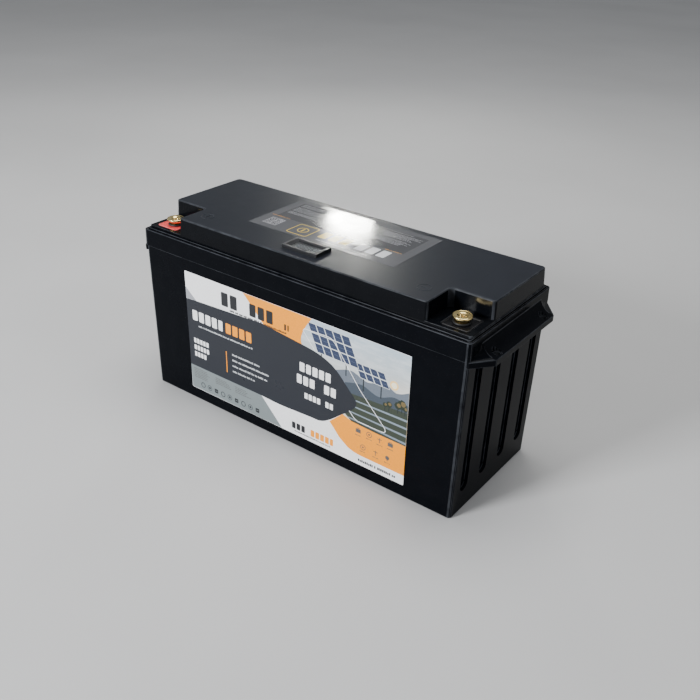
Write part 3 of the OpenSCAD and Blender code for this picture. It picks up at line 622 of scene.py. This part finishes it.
def make_post(s, name):
    z1 = 224.0
    prof = [(6.5, 196.0), (6.9, 196.35)]
    prof += [(7.0, z) for z in (197.0, 204, 210, 215.6)]
    prof += [(7.0, 217.75), (7.0, 218.3), (7.1, 218.7), (7.5, 219.1), (8.15, 219.5), (8.4, 219.9), (8.5, 220.6), (8.6, 221.2), (8.8, 221.38), (9.2, 221.42),
             (9.75, 221.46), (10.05, 221.62), (10.22, 221.95), (10.25, 222.3), (10.25, 223.15), (10.17, 223.5), (9.98, 223.72), (9.55, 223.97), (9.3, 224.0), (8.95, 224.0), (8.8, 223.9), (8.6, 223.86), (5.9, 223.86), (5.5, 223.8), (5.2, 223.62), (3.9, 222.72)]
    first_thread = len(prof)
    zz = 222.4
    while zz > 209.6:
        prof.append((3.7, zz))
        zz -= 0.156
    last_thread = len(prof) - 1
    prof += [(3.3, 209.3), (3.0, 209.0), (0.6, 208.2)]

    def wob(i, a, r, z):
        if first_thread <= i <= last_thread:
            ph = (z / 1.25 + a / (2 * math.pi)) % 1.0
            tri = abs(ph * 2 - 1)
            fade = min(1.0, (i - first_thread) / 4, (last_thread - i) / 4)
            return r + (0.36 * (tri - 0.5) * 2 * 0.8) * fade - 0.02, z
        return r, z

    def build(bm):
        lathe(bm, prof, 96, s * TX, TY, wob=wob)
    ob = solid(name, build)
    finish_mesh(ob, [M["brass"]], 42, narrow=1.0)
    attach(ob, "root")
    return ob


post_p = make_post(-1, "terminal_post_positive"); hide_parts("terminal_insert_positive")
post_n = make_post(1, "terminal_post_negative"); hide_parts("terminal_insert_negative")


def orings(bm):
    for s in (-1, 1):
        lathe(bm, [(8.15 + 1.05 * math.cos(a), 216.7 + 1.05 * math.sin(a)) for a in [2 * math.pi * k / 20 for k in range(20)]], 72, s * TX, TY, closed=True)


o = solid("terminal_seals", orings)
finish_mesh(o, [M["oring"]], 60)
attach(o, "root"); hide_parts("terminal_o_rings")


# ------------------------------------------------------------------ panel meter
MX, MY = 0.0, -52.0


def housing(bm):
    rows = [(24.0, 13.25, 1.0, 236.0)]
    rows += [(24.0 - i, 13.25 - i, 1.0 - i * 0.5, z) for i, z in fillet(240.0, 0.55, True, 4)]
    rows += [(20.95, 10.35, 0.75, 240.0), (20.65, 10.05, 0.7, 239.9), (20.45, 9.85, 0.65, 239.6), (20.0, 9.55, 0.6, 239.3), (17.5, 8.15, 0.5, 238.25), (17.3, 8.0, 0.45, 238.1), (17.2, 7.9, 0.4, 238.0), (17.2, 7.9, 0.4, 237.96)]
    rows += [(18.0, 9.0, 0.6, 237.94), (18.0, 9.0, 0.6, 234.2), (20.9, 10.2, 0.6, 234.2), (20.9, 10.2, 0.6, 222.0), (22.4, 11.7, 0.8, 222.0), (22.4, 11.7, 0.8, 236.0)]
    loft(bm, [at(rect(x, y, r, 5, MX, MY), z) for x, y, r, z in rows], ring_closed=True)


ob = solid("meter_bezel", housing)
finish_mesh(ob, [M["meter"]], 34, narrow=0.9)
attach(ob, "root"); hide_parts("meter_housing")


def glass_mat():
    m, nt, p = mat_base("meter_glass")
    v = coords(nt)
    nt.links.new(mapr(nt, noise(nt, v, 300.0, 4.0), 0.3, 0.7, 0.03, 0.10), p.inputs["Roughness"])
    nt.links.new(bump(nt, noise(nt, v, 90.0, 2.0), 0.00001), p.inputs["Normal"])
    p.inputs["Base Color"].default_value = (0.93, 0.95, 0.95, 1)
    p.inputs["Transmission Weight"].default_value = 1.0
    p.inputs["IOR"].default_value = 1.47
    return m


M["glass"] = glass_mat()


def window(bm):
    loft(bm, [at(rect(17.9 - i, 8.9 - i, 0.5, 5, MX, MY), z) for i, z in ((0.15, 236.9), (0, 237.0), (0, 237.8), (0.15, 237.9))])


ob = solid("meter_lens", window)
finish_mesh(ob, [M["glass"]], 30)
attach(ob, "root"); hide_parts("meter_window")

M["lcd"] = printed("lcd_field", (0.020, 0.022, 0.024), 0.30, 0.10, 0.000004, 0.3)
M["lcd_seg"] = printed("lcd_segments", (0.34, 0.36, 0.38), 0.35, 0.05, 0.000004)
M["lcd_frame"] = printed("lcd_frame", (0.02, 0.021, 0.022), 0.4, 0.05, 0.000004)


def plate(bm, P, z0, z1, mat, place=None):
    """A thin closed plate with outline P between heights z0 and z1."""
    place = place or (lambda u, v, t: (u, v, t))
    area = sum(P[i - 1][0] * P[i][1] - P[i][0] * P[i - 1][1] for i in range(len(P)))
    if area < 0:
        P = list(reversed(P))
    loft(bm, [[place(p[0], p[1], z0) for p in P], [place(p[0], p[1], z1) for p in P]], mat=mat)


def display(bm):
    plate(bm, rect(17.6, 8.6, 0.4, 3, MX, MY), 231.0, 236.60, 2)
    plate(bm, rect(16.4, 7.1, 0.3, 3, MX, MY), 236.60, 236.66, 0)

    def seg(cx, cy, w, h, on="abcdefg"):
        t, g = 0.62, 0.12
        x0, x1, y0, y1, ym = cx - w / 2, cx + w / 2, cy - h / 2, cy + h / 2, cy
        S = {"a": (x0 + g, y1, x1 - g, y1, 0), "g": (x0 + g, ym, x1 - g, ym, 0), "d": (x0 + g, y0, x1 - g, y0, 0),
             "f": (x0, ym + g, x0, y1 - g, 1), "b": (x1, ym + g, x1, y1 - g, 1), "e": (x0, y0 + g, x0, ym - g, 1), "c": (x1, y0 + g, x1, ym - g, 1)}
        for k in on:
            ax, ay, bx, by, vert = S[k]
            h2 = t / 2
            P = [(ax, ay), (ax + h2, ay - h2), (bx - h2, by - h2), (bx, by), (bx - h2, by + h2), (ax + h2, ay + h2)] if not vert else \
                [(ax, ay), (ax + h2, ay + h2), (bx + h2, by - h2), (bx, by), (bx - h2, by - h2), (ax - h2, ay + h2)]
            plate(bm, P, 236.66, 236.70, 1)
    for i in range(4):
        seg(MX - 11.2 + i * 5.3, MY - 0.3, 3.3, 7.6)
    plate(bm, rect(0.4, 0.4, 0.2, 3, MX - 3.25, MY - 4.1), 236.66, 236.70, 1)
    for i in range(2):
        seg(MX + 10.4 + i * 3.4, MY + 1.6, 2.0, 4.4)
    plate(bm, rect(2.9, 0.7, 0.2, 3, MX + 11.9, MY - 3.6), 236.66, 236.70, 1)


ob = solid("meter_lcd", display)
for m_ in (M["lcd"], M["lcd_seg"], M["lcd_frame"]):
    ob.data.materials.append(m_)
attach(ob, "root"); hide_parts("meter_display")


# ------------------------------------------------------------------ front label
def place_front(u, v, t):
    z = 15.6 + v
    return (u - 160.0, -(BW0 + SIDE_T * z) - t, z)


def lift(k):
    return 0.17 + 0.012 * k


class Art:
    """Thin closed colour layers, each a little prouder than the one before it."""

    def __init__(self, name, place, base, top):
        self.bm, self.name, self.place, self.base, self.top = bmesh.new(), name, place, base, top
        self.mats, self.index = [], {}

    def ink(self, key):
        if key not in self.index:
            self.index[key] = len(self.mats)
            self.mats.append(M[key])
        return self.index[key]

    def add(self, P, key, k):
        plate(self.bm, P, self.base, self.top(k), self.ink(key), self.place)

    def bar(self, u0, v0, u1, v1, key, k, r=0.25):
        self.add(rect((u1 - u0) / 2, (v1 - v0) / 2, min(r, (v1 - v0) * 0.45, (u1 - u0) * 0.45), 2, (u0 + u1) / 2, (v0 + v1) / 2), key, k)

    def greek(self, u0, v0, u1, v1, key, k, seed, fill=0.80, word=5, slope=0.0, big=False):
        """A row of small blocks that stands for a line of print. Large ones are even squares."""
        rnd = random.Random(seed)
        h = v1 - v0
        u, n = u0, 0
        while u < u1 - h * 0.3:
            w = h * (0.80 if big else rnd.uniform(0.55, 0.85))
            w = min(w, u1 - u)
            if big and w < h * 0.6:
                break
            dv = slope * (u - u0)
            top = v1 if rnd.random() < 0.5 or word > 90 else v0 + h * 0.78
            self.bar(u, v0 + dv, u + w * fill, top + dv, key, k, h * 0.08)
            n += 1
            u += w + (h * 0.5 if n % max(2, word + rnd.choice((-1, 0, 1))) == 0 else 0.0)

    def line(self, pts, w, key, k, closed=False):
        m = len(pts)
        for i in range(m if closed else m - 1):
            a, b = Vector(pts[i]), Vector(pts[(i + 1) % m])
            d = (b - a).normalized()
            n = Vector((-d.y, d.x)) * w / 2
            e = d * w * 0.35
            self.add([tuple(a - e - n), tuple(b + e - n), tuple(b + e + n), tuple(a - e + n)], key, k + 0.15 * (i % 2))

    def disc(self, u, v, r, key, k, n=20, squash=1.0):
        self.add([(u + r * math.cos(2 * math.pi * i / n), v + r * squash * math.sin(2 * math.pi * i / n)) for i in range(n)], key, k)

    def ring(self, u, v, r, w, key, k, n=24):
        place, base, top = self.place, self.base, self.top(k)
        rings = []
        for rr, zz in ((r - w / 2, base), (r + w / 2, base), (r + w / 2, top), (r - w / 2, top)):
            rings.append([place(u + rr * math.cos(2 * math.pi * i / n), v + rr * math.sin(2 * math.pi * i / n), zz) for i in range(n)])
        loft(self.bm, rings, ring_closed=True, mat=self.ink(key))

    def blob(self, u, v, r, key, k, seed, n=26, rough=0.3, squash=1.0):
        rnd = random.Random(seed)
        self.add([(u + r * (1 + rnd.uniform(-rough, rough)) * math.cos(2 * math.pi * i / n), v + squash * r * (1 + rnd.uniform(-rough, rough)) * math.sin(2 * math.pi * i / n)) for i in range(n)], key, k)

    def done(self):
        ob = to_object(self.bm, self.name)
        for m in self.mats:
            ob.data.materials.append(m)
        return ob


def curve(P, n=6):
    """A smooth open line through P (Catmull-Rom)."""
    out = []
    Q = [P[0]] + list(P) + [P[-1]]
    for i in range(1, len(Q) - 2):
        p0, p1, p2, p3 = (Vector(q) for q in Q[i - 1:i + 3])
        for k in range(n):
            t = k / n
            v = 0.5 * (2 * p1 + (p2 - p0) * t + (2 * p0 - 5 * p1 + 4 * p2 - p3) * t * t + (3 * p1 - p0 - 3 * p2 + p3) * t ** 3)
            out.append((v.x, v.y))
    out.append(tuple(P[-1]))
    return out


INK = {
    "ink_white": (0.87, 0.88, 0.89), "ink_grey": (0.30, 0.31, 0.34), "ink_orange": (0.93, 0.315, 0.005), "ink_charcoal": (0.015, 0.0175, 0.024),
    "ink_sage": (0.18, 0.21, 0.215), "ink_black": (0.016, 0.017, 0.020), "ink_soft": (0.52, 0.54, 0.56), "ink_dim": (0.085, 0.085, 0.085),
    "art_panel": (0.030, 0.042, 0.085), "art_cell": (0.12, 0.16, 0.24),
    "art_far": (0.13, 0.155, 0.19), "art_dark": (0.016, 0.021, 0.024), "art_tree": (0.020, 0.030, 0.020), "art_glow": (0.95, 0.62, 0.25), "art_sun": (1.0, 0.90, 0.66), "art_pale": (0.62, 0.66, 0.68),
    "art_fence": (0.050, 0.066, 0.085), "art_lawn": (0.035, 0.045, 0.032), "art_path": (0.20, 0.25, 0.30), "art_leaf": (0.15, 0.11, 0.045),
    "top_grey": (0.078, 0.080, 0.086), "top_dark": (0.050, 0.051, 0.055), "top_line": (0.27, 0.275, 0.29), "top_white": (0.60, 0.61, 0.63), "top_qr": (0.30, 0.30, 0.32), "top_yellow": (0.62, 0.45, 0.06), "top_orange": (0.42, 0.21, 0.06),
}
for key, col in INK.items():
    M[key] = printed(key, col, 0.11 if key.startswith("top") else 0.32, 0.05, 0.000006 if key.startswith("top") else 0.00001, 0.0)


def sky_mat():
    m, nt, p = mat_base("art_sky")
    c = nt.nodes.new("ShaderNodeTexCoord")
    x = node(nt, "ShaderNodeSeparateXYZ", {"Vector": c.outputs["Object"]})
    v = coords(nt)
    h = mapr(nt, x.outputs["Z"], 0.066, 0.176, 0.0, 1.0)
    w = mapr(nt, x.outputs["X"], 0.060, 0.162, 0.0, 1.0)
    ramp = mix(nt, h, (0.66, 0.60, 0.48), (0.42, 0.52, 0.60))
    warm = mth(nt, "MULTIPLY", mapr(nt, w, 0.55, 1.0, 0.0, 0.75), mapr(nt, h, 0.75, 0.15, 0.0, 1.0))
    c1 = mix(nt, warm, ramp, (0.98, 0.70, 0.36))
    cloud = mapr(nt, node(nt, "ShaderNodeTexNoise", {"Vector": coords(nt, (14, 14, 60)), "Scale": 3.0, "Detail": 5.0}).outputs["Fac"], 0.45, 0.7, 0.0, 0.35)
    nt.links.new(mix(nt, cloud, c1, (0.86, 0.88, 0.88)), p.inputs["Base Color"])
    nt.links.new(mapr(nt, noise(nt, v, 30.0), 0.3, 0.7, 0.25, 0.35), p.inputs["Roughness"])
    nt.links.new(bump(nt, noise(nt, v, 260.0, 2.0), 0.00001), p.inputs["Normal"])
    return m


M["art_sky"] = sky_mat()


def front_label():
    a = Art("front_label_print", place_front, 0.06, lambda k: 0.15 + 0.011 * k)
    plate(a.bm, rect(160.8, 80, 1.2, 4, 160.8, 80), 0.0, 0.15, a.ink("ink_white"), place_front)
    # picture
    edge = curve([(180, 124), (205, 120), (227, 110), (246, 91), (255, 82)], 6) + [(256.2, 78)] + curve([(255, 73), (247, 64), (238, 57)], 4)
    pic = [(321.6, 159.6), (194, 159.6)] + curve([(194, 159.6), (184, 145), (179, 132), (180, 124)], 5)[1:-1] + edge + [(250, 53), (282, 51.5), (321.6, 51)]
    a.add(pic, "art_sky", 1)
    # far ridge, low sun, near ridge
    a.disc(303, 119, 5.4, "art_glow", 2)
    a.disc(303, 119, 3.6, "art_sun", 2.5)
    a.add([(321.4, 117)] + curve([(321.4, 117), (306, 111), (290, 118), (270, 110), (248, 116), (226, 109)], 5)[1:] + [(240, 70), (321.4, 70)], "art_far", 3)
    a.add([(321.4, 101)] + curve([(321.4, 101), (304, 105), (284, 98), (262, 104), (240, 99)], 5)[1:] + [(246, 62), (321.4, 62)], "art_fence", 4)
    # field in strips
    a.add([(321.4, 92), (246, 88), (240, 60), (250, 53), (282, 51.5), (321.4, 51.2)], "art_lawn", 5)
    for t in range(4):
        a.add([(321.4, 84 - t * 9.5), (321.4, 81.5 - t * 9.5), (246, 80.5 - t * 8.2), (246, 82 - t * 8.2)], "art_path", 5.6)
    # two free-standing arrays of panels on posts
    def array(u, v, w, h, lean, nu, nv, k):
        q = lambda x, y: (u + w * x + lean * (1 - y), v + h * y)
        for x in (0.2, 0.8):
            a.bar(q(x, 0.4)[0] - 0.7, v - 15, q(x, 0.4)[0] + 0.7, v + h * 0.4, "art_dark", k)
        a.add([q(0, 0), q(1, 0), q(1, 1), q(0, 1)], "art_pale", k + 0.5)
        e = 0.6
        for x in range(nu):
            for y in range(nv):
                P = [q(x / nu, y / nv), q((x + 1) / nu, y / nv), q((x + 1) / nu, (y + 1) / nv), q(x / nu, (y + 1) / nv)]
                c = (sum(p[0] for p in P) / 4, sum(p[1] for p in P) / 4)
                a.add([(p[0] + (c[0] - p[0]) * e * 2 / (w / nu), p[1] + (c[1] - p[1]) * e * 2 / (h / nv)) for p in P], "art_panel", k + 1)
                a.add([(P[0][0] * 0.5 + P[3][0] * 0.5 + 0.6, c[1] - 0.12), (P[1][0] * 0.5 + P[2][0] * 0.5 - 0.6, c[1] - 0.12), (P[1][0] * 0.5 + P[2][0] * 0.5 - 0.6, c[1] + 0.12), (P[0][0] * 0.5 + P[3][0] * 0.5 + 0.6, c[1] + 0.12)], "art_cell", k + 1.4)
    array(252, 112, 38, 17, 8, 4, 2, 5.8)
    array(188, 122, 56, 33, 14, 5, 3, 7)
    # round trees
    for i, (u, v, r) in enumerate(((314, 100, 5.5), (309, 97, 4.4), (318, 96, 3.2), (298, 94, 3.6), (293, 92, 2.8))):
        a.bar(u - 0.5, v - r - 5, u + 0.5, v, "art_dark", 6.4)
        a.blob(u, v, r, "art_tree", 6.6 + 0.1 * i, 30 + i, 18, 0.10)
        a.blob(u + r * 0.25, v + r * 0.2, r * 0.55, "art_leaf", 7.2 + 0.1 * i, 50 + i, 14, 0.12)
    # charcoal field
    field = [(0, 124), (17, 125), (124, 130), (180, 124)] + edge[1:-1] + curve([(238, 57), (220, 42), (207, 35), (190, 34), (147, 32), (118, 33)], 5) + [(0, 33)]
    a.add(field, "ink_charcoal", 9)
    # top band
    a.add([(0, 139.4), (17, 125), (0, 124.2)], "ink_grey", 2)
    a.add([(94, 159.7), (193.8, 159.7)] + curve([(193.8, 159.7), (184, 145), (179, 132), (180, 124)], 5)[1:] + [(124, 130)], "ink_orange", 9.5)
    # orange wedge
    a.add([(238, 57), (250, 53), (282, 51.5), (321.6, 51), (321.6, 13), (264, 13), (255, 13.8), (246, 16.6), (235, 24), (220, 40.2)], "ink_orange", 9.5)
    # sage corner
    a.add([(0, 33), (118, 33), (149, 0.6), (120, 0.3), (0.6, 0.6)], "ink_sage", 9.5)
    # outline figure
    a.line([(182, 142), (184, 144.5), (216, 146), (221, 145), (226, 141), (260, 97), (294, 62.5), (295.2, 59), (293, 56.6), (288, 56.2), (259, 56.2), (254, 58.2), (247, 65)], 0.75, "ink_white", 10.3)
    a.line([(182, 142), (198, 123)], 0.75, "ink_white", 10.3)
    # blocks that stand for the print
    K = 10.6
    a.greek(59, 133, 96, 150.5, "ink_black", K, 1, 0.76, 99, big=True)
    a.greek(103, 133.5, 150, 149.5, "ink_black", K, 5, 0.76, 99, big=True)
    a.greek(155, 133.0, 163, 140.5, "ink_black", K, 3, 0.6, 99)
    a.greek(72, 128.9, 122, 131.3, "ink_black", K, 7)
    a.greek(125, 128.4, 160, 130.8, "ink_black", K, 8)
    a.greek(9, 98, 61, 111.5, "ink_white", K, 11, 0.76, 99, big=True)
    a.greek(64, 98, 113, 111.5, "ink_orange", K, 12, 0.76, 99, big=True)
    a.greek(18, 90.5, 106, 92.6, "ink_soft", K, 13)
    for i, (l, s) in enumerate(((28, 21), (27, 22), (21, 23))):
        a.greek(8.5, 66.5 - i * 9.4, 8.5 + l, 73.0 - i * 9.4, "ink_white", K, s, 0.76, 99, big=True)
    a.bar(62.3, 44, 63.5, 73, "ink_orange", K, 0.3)
    for i, l in enumerate((44, 58, 56, 36)):
        a.greek(72.5, 70.6 - i * 7.6, 72.5 + l, 73.0 - i * 7.6, "ink_soft", K, 31 + i)
    a.greek(177, 89.5, 226, 101, "ink_white", K, 41, 0.76, 99, big=True)
    a.greek(173, 73, 206, 84.5, "ink_white", K, 42, 0.76, 99, big=True)
    a.greek(212, 73, 232, 84.5, "ink_white", K, 43, 0.76, 99, big=True)
    a.greek(184, 56, 210, 63.5, "ink_white", K, 44, 0.76, 99, big=True)
    a.greek(214, 56, 229, 63.5, "ink_white", K, 45, 0.76, 99, big=True)
    a.greek(165, 8, 191, 16.8, "ink_black", K, 51, 0.76, 99, big=True)
    a.greek(193, 8, 227, 16.8, "ink_orange", K, 52, 0.76, 99, big=True)
    a.greek(169, 4.6, 222, 5.9, "ink_black", K, 53)
    a.greek(261, 4.8, 312, 8.0, "ink_black", K, 54, 0.74, 9)
    # small signs
    for i in range(9):
        u, v = 19.5 + i * 11.4, 8.6
        if i % 3 == 0:
            a.ring(u, v, 3.2, 1.0, "ink_black", K)
        elif i % 3 == 1:
            a.ring(u, v, 3.4, 0.7, "ink_black", K); a.disc(u, v, 1.6, "ink_black", K)
        else:
            a.add(rect(2.9, 2.9, 1.0, 3, u, v), "ink_black", K)
            a.bar(u - 1.6, v - 0.4, u + 1.6, v + 0.4, "ink_sage", K + 0.8)
    for c, (u0, n) in enumerate(((5, 6), (42, 4), (75, 4))):
        for i in range(n):
            a.greek(u0, 28.6 - i * 2.4 - (0 if c == 0 else 1.0), u0 + RND.uniform(17, 28), 29.7 - i * 2.4 - (0 if c == 0 else 1.0), "ink_dim", K, 70 + c * 9 + i)
    for i, (u, v) in enumerate(((260, 44.5), (274.5, 45.5), (288.5, 44), (302.5, 44.5), (267, 25.5), (284, 25.5), (299.5, 25.5))):
        if i in (0, 3):
            a.add(rect(3.4, 2.4, 0.6, 3, u, v), "ink_dim", K); a.bar(u - 2.2, v + 2.8, u + 2.2, v + 3.6, "ink_dim", K)
        elif i in (1, 4):
            a.ring(u, v, 3.2, 0.8, "ink_dim", K); a.disc(u, v, 1.2, "ink_dim", K)
        elif i in (2, 5):
            a.bar(u - 0.5, v - 3.2, u + 0.5, v + 3.2, "ink_dim", K); a.bar(u - 2.8, v + 1.0, u + 2.8, v + 1.9, "ink_dim", K + 0.3)
        else:
            a.disc(u, v + 0.8, 2.7, "ink_dim", K); a.bar(u - 0.5, v - 3.4, u + 0.5, v, "ink_dim", K + 0.3)
        a.greek(u - 4, v - 6.4, u + 4, v - 5.2, "ink_dim", K, 90 + i)
    ob = a.done()
    return ob


fl = front_label()
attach(fl, "root"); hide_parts("front_label")


def place_flat(x, y, t):
    return (x, y, t)


def top_label():
    a = Art("top_label_print", place_flat, TOP_Z + 0.06, lambda k: TOP_Z + 0.15 + 0.011 * k)
    plate(a.bm, rect(101.5, 49, 1.5, 5, -2.5, 17.8), TOP_Z, TOP_Z + 0.15, a.ink("top_grey"), place_flat)
    a.add(rect(90, 26, 1, 3, -3, 31), "top_dark", 1)
    K = 2
    for i in range(15):          # fine rows of print, read from the far side
        y = 55.0 - i * 2.35
        for c, (x0, x1) in enumerate(((-90, -34), (-28, 26), (32, 84))):
            if (i * 3 + c) % 7 == 5:
                continue
            a.greek(x0, y - 1.1, x1 - RND.uniform(0, 16), y, "top_line", K, 200 + i * 3 + c, 0.8, 6)
    n, s = 21, 0.84
    a.add(rect(9.9, 9.9, 0.4, 2, -82, -11.5), "top_qr", K)
    for i in range(n):
        for j in range(n):
            near = (i < 7 and j < 7) or (i < 7 and j >= n - 7) or (i >= n - 7 and j < 7)
            if not near and RND.random() < 0.46:
                x, y = -82 + (i - n / 2 + 0.5) * s, -11.5 + (j - n / 2 + 0.5) * s
                a.add([(x - 0.4, y - 0.4), (x + 0.4, y - 0.4), (x + 0.4, y + 0.4), (x - 0.4, y + 0.4)], "top_dark", K + 1)
    for i, j in ((3, 3), (3, n - 4), (n - 4, 3)):
        x, y = -82 + (i - n / 2 + 0.5) * s, -11.5 + (j - n / 2 + 0.5) * s
        a.add(rect(2.9, 2.9, 0.2, 2, x, y), "top_dark", K + 1)
        a.add(rect(2.1, 2.1, 0.15, 2, x, y), "top_qr", K + 2)
        a.add(rect(1.2, 1.2, 0.1, 2, x, y), "top_dark", K + 3)
    # a rounded frame with a plain disc
    a.add(rect(14.5, 14.5, 3.5, 5, -38, -12), "top_yellow", K)
    a.add(rect(13.4, 13.4, 2.9, 5, -38, -12), "top_grey", K + 1)
    a.ring(-38, -12, 6.4, 1.2, "top_yellow", K + 1.6)
    a.bar(-39, -16, -37, -8, "top_yellow", K + 1.6, 0.6)
    a.greek(-14, -17, 32, 1, "top_yellow", K, 231, 0.76, 99, big=True)
    a.greek(37, -18, 86, 0, "top_white", K, 232, 0.76, 99, big=True)
    a.greek(-10, 3.2, 30, 4.8, "top_line", K, 233)
    a.greek(-99, 5.0, -72, 6.6, "top_orange", K, 234)
    a.greek(64, 3.2, 86, 5.0, "top_orange", K, 235)
    a.greek(-10, -24.5, 60, -22.8, "top_line", K, 236)
    return a.done()


tl = top_label()
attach(tl, "root"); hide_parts("top_label")


# ------------------------------------------------------------------ lid seal
def seal(bm):
    rows = [(CL - 2.45, CW - 2.65, 3, 203.5), (CL - 2.45, CW - 2.65, 3, 211.0), (CL - 2.6, CW - 2.8, 2.9, 211.4), (CL - 2.95, CW - 3.15, 2.7, 211.55), (CL - 3.28, CW - 3.48, 2.6, 211.3),
            (CL - 3.3, CW - 3.5, 2.6, 205.0), (CL - 6.0, CW - 6.2, 2.0, 205.0), (CL - 6.0, CW - 6.2, 2.0, 203.5)]
    loft(bm, [ring_xy(x, y, r, z, 8) for x, y, r, z in rows], ring_closed=True)


ob = solid("lid_sealant", seal)
finish_mesh(ob, [M["seal"]], 50, edge_attr=False)
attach(ob, "root"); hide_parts("lid_seal")


# ------------------------------------------------------------------ materials of the CAD pieces inside
def board(name, col):
    m, nt, p = mat_base(name)
    v = coords(nt)
    tracks = node(nt, "ShaderNodeTexBrick", {"Vector": v, "Scale": 240.0, "Mortar Size": 0.03}).outputs["Fac"]
    n = noise(nt, v, 90.0, 4.0)
    c = mix(nt, mapr(nt, tracks, 0.2, 0.8, 0.0, 0.5), col, tuple(x * 1.9 for x in col))
    nt.links.new(mix(nt, mapr(nt, n, 0.4, 0.7, 0.0, 0.3), c, tuple(x * 0.6 for x in col)), p.inputs["Base Color"])
    nt.links.new(mapr(nt, n, 0.3, 0.7, 0.28, 0.42), p.inputs["Roughness"])
    nt.links.new(bump(nt, tracks, 0.00004), p.inputs["Normal"])
    return m


IN = {
    "seal_bead": M["seal"], "pad_red": M["pad_red"], "pad_black": M["pad_black"], "terminal_brass": M["brass"], "o_ring_rubber": M["oring"],
    "zinc_steel": metal("zinc_steel", (0.62, 0.64, 0.66), 0.30, (1, 1, 1), 0.00001),
    "board_green": board("board_green", (0.012, 0.12, 0.045)), "board_blue": board("board_blue", (0.010, 0.035, 0.16)),
    "connector_ivory": plastic("connector_ivory", (0.70, 0.66, 0.52), 0.38, grain=0.000006, edge_highlight_col=(0.8, 0.77, 0.66)),
    "foam_black": soft("foam_black", (0.020, 0.020, 0.021), 0.9, 900, 0.0003),
    "cell_wrap": plastic("cell_wrap", (0.012, 0.040, 0.16), 0.30, 0.05, wave=0.00025, grain=0.000004, edge_highlight_col=(0.05, 0.10, 0.26)),
    "plain_aluminium": metal("plain_aluminium", (0.78, 0.79, 0.80), 0.34, (1, 40, 1), 0.00001),
    "gasket_black": soft("gasket_black", (0.014, 0.014, 0.014), 0.6, 1200, 0.00003),
    "epoxy_sheet": printed("epoxy_sheet", (0.20, 0.34, 0.20), 0.42, 0.18, 0.00003),
    "strap_steel": metal("strap_steel", (0.50, 0.51, 0.53), 0.38, (60, 1, 60), 0.00002),
    "plated_copper": metal("plated_copper", (0.72, 0.72, 0.70), 0.28, (1, 40, 1), 0.00001),
    "bare_copper": metal("bare_copper", (0.80, 0.38, 0.22), 0.28, (30, 1, 1), 0.00001, (0.45, 0.20, 0.12)),
    "tinned_copper": metal("tinned_copper", (0.66, 0.67, 0.68), 0.32, (1, 1, 1), 0.00001),
    "cable_red": plastic("cable_red", (0.42, 0.020, 0.018), 0.42, grain=0.00001, grain_scale=1800.0),
    "cable_black": plastic("cable_black", (0.014, 0.014, 0.015), 0.42, grain=0.00001, grain_scale=1800.0),
    "wire_white": plastic("wire_white", (0.62, 0.62, 0.60), 0.40, grain=0.00001, grain_scale=1800.0),
    "component_black": plastic("component_black", (0.016, 0.016, 0.017), 0.5, grain=0.00001),
    "module_black": plastic("module_black", (0.014, 0.014, 0.016), 0.4, grain=0.00001),
}
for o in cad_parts.values():
    for ms in o.material_slots:
        key = ms.material.name.split(".")[0] if ms.material else ""
        if key in IN:
            ms.material = IN[key]

# ------------------------------------------------------------------ stage
m, nt, p = mat_base("floor")
v = coords(nt)
nt.links.new(mix(nt, mapr(nt, noise(nt, v, 2.0, 3.0), 0.3, 0.7, 0.0, 1.0), (0.50, 0.50, 0.50), (0.54, 0.54, 0.54)), p.inputs["Base Color"])
nt.links.new(mapr(nt, noise(nt, v, 40.0, 3.0), 0.3, 0.7, 0.70, 0.80), p.inputs["Roughness"])
p.inputs["Specular IOR Level"].default_value = 0.15
bm = bmesh.new()
bmesh.ops.create_grid(bm, x_segments=8, y_segments=8, size=9.0)
floor = to_object(bm, "floor", [m])
floor.location = (0, 0, -0.0002)


def area(name, loc, target, size, power, col=(1, 1, 1), shape="RECTANGLE"):
    d = bpy.data.lights.new(name, "AREA")
    d.shape, d.size, d.size_y, d.energy, d.color = shape, size[0], size[1], power, col
    o = bpy.data.objects.new(name, d)
    bpy.context.scene.collection.objects.link(o)
    o.location = loc
    o.rotation_mode = "QUATERNION"
    o.rotation_quaternion = (Vector(target) - Vector(loc)).to_track_quat("-Z", "Y")
    return o


area("overhead", (-0.10, 0.35, 2.2), (0, 0, 0.15), (1.6, 1.2), 34, (1.0, 0.99, 0.97))
area("front_fill", (-0.9, -2.5, 1.2), (0, 0, 0.10), (0.7, 0.6), 128, (0.97, 0.98, 1.0))
area("side_fill", (2.3, 0.3, 1.9), (0.1, 0, 0.12), (0.5, 0.5), 8, (0.95, 0.97, 1.0))
spot_at = Vector((-0.014, 0.044, 0.2363))
mirror = Vector((-0.5608, 0.7595, 0.3545)).normalized()
area("lamp", spot_at + mirror * 1.7, spot_at, (0.145, 0.07), 3.4, (1.0, 1.0, 0.93), "ELLIPSE")

world = bpy.data.worlds.new("studio")
bpy.context.scene.world = world
world.use_nodes = True
wn = world.node_tree
wn.nodes["Background"].inputs["Color"].default_value = (0.72, 0.74, 0.77, 1)
wn.nodes["Background"].inputs["Strength"].default_value = 0.42

cam_data = bpy.data.cameras.new("camera")
cam_data.lens, cam_data.sensor_width = 44.121, 36.0
cam_data.clip_start, cam_data.clip_end = 0.02, 60
cam = bpy.data.objects.new("camera", cam_data)
bpy.context.scene.collection.objects.link(cam)
cam.matrix_world = Matrix(((0.7976303, -0.3134667, 0.5152908, 0.546765), (0.6024284, 0.3723660, -0.7059913, -0.715523), (0.0294280, 0.8735458, 0.4858516, 0.590794), (0, 0, 0, 1)))
bpy.context.scene.camera = cam
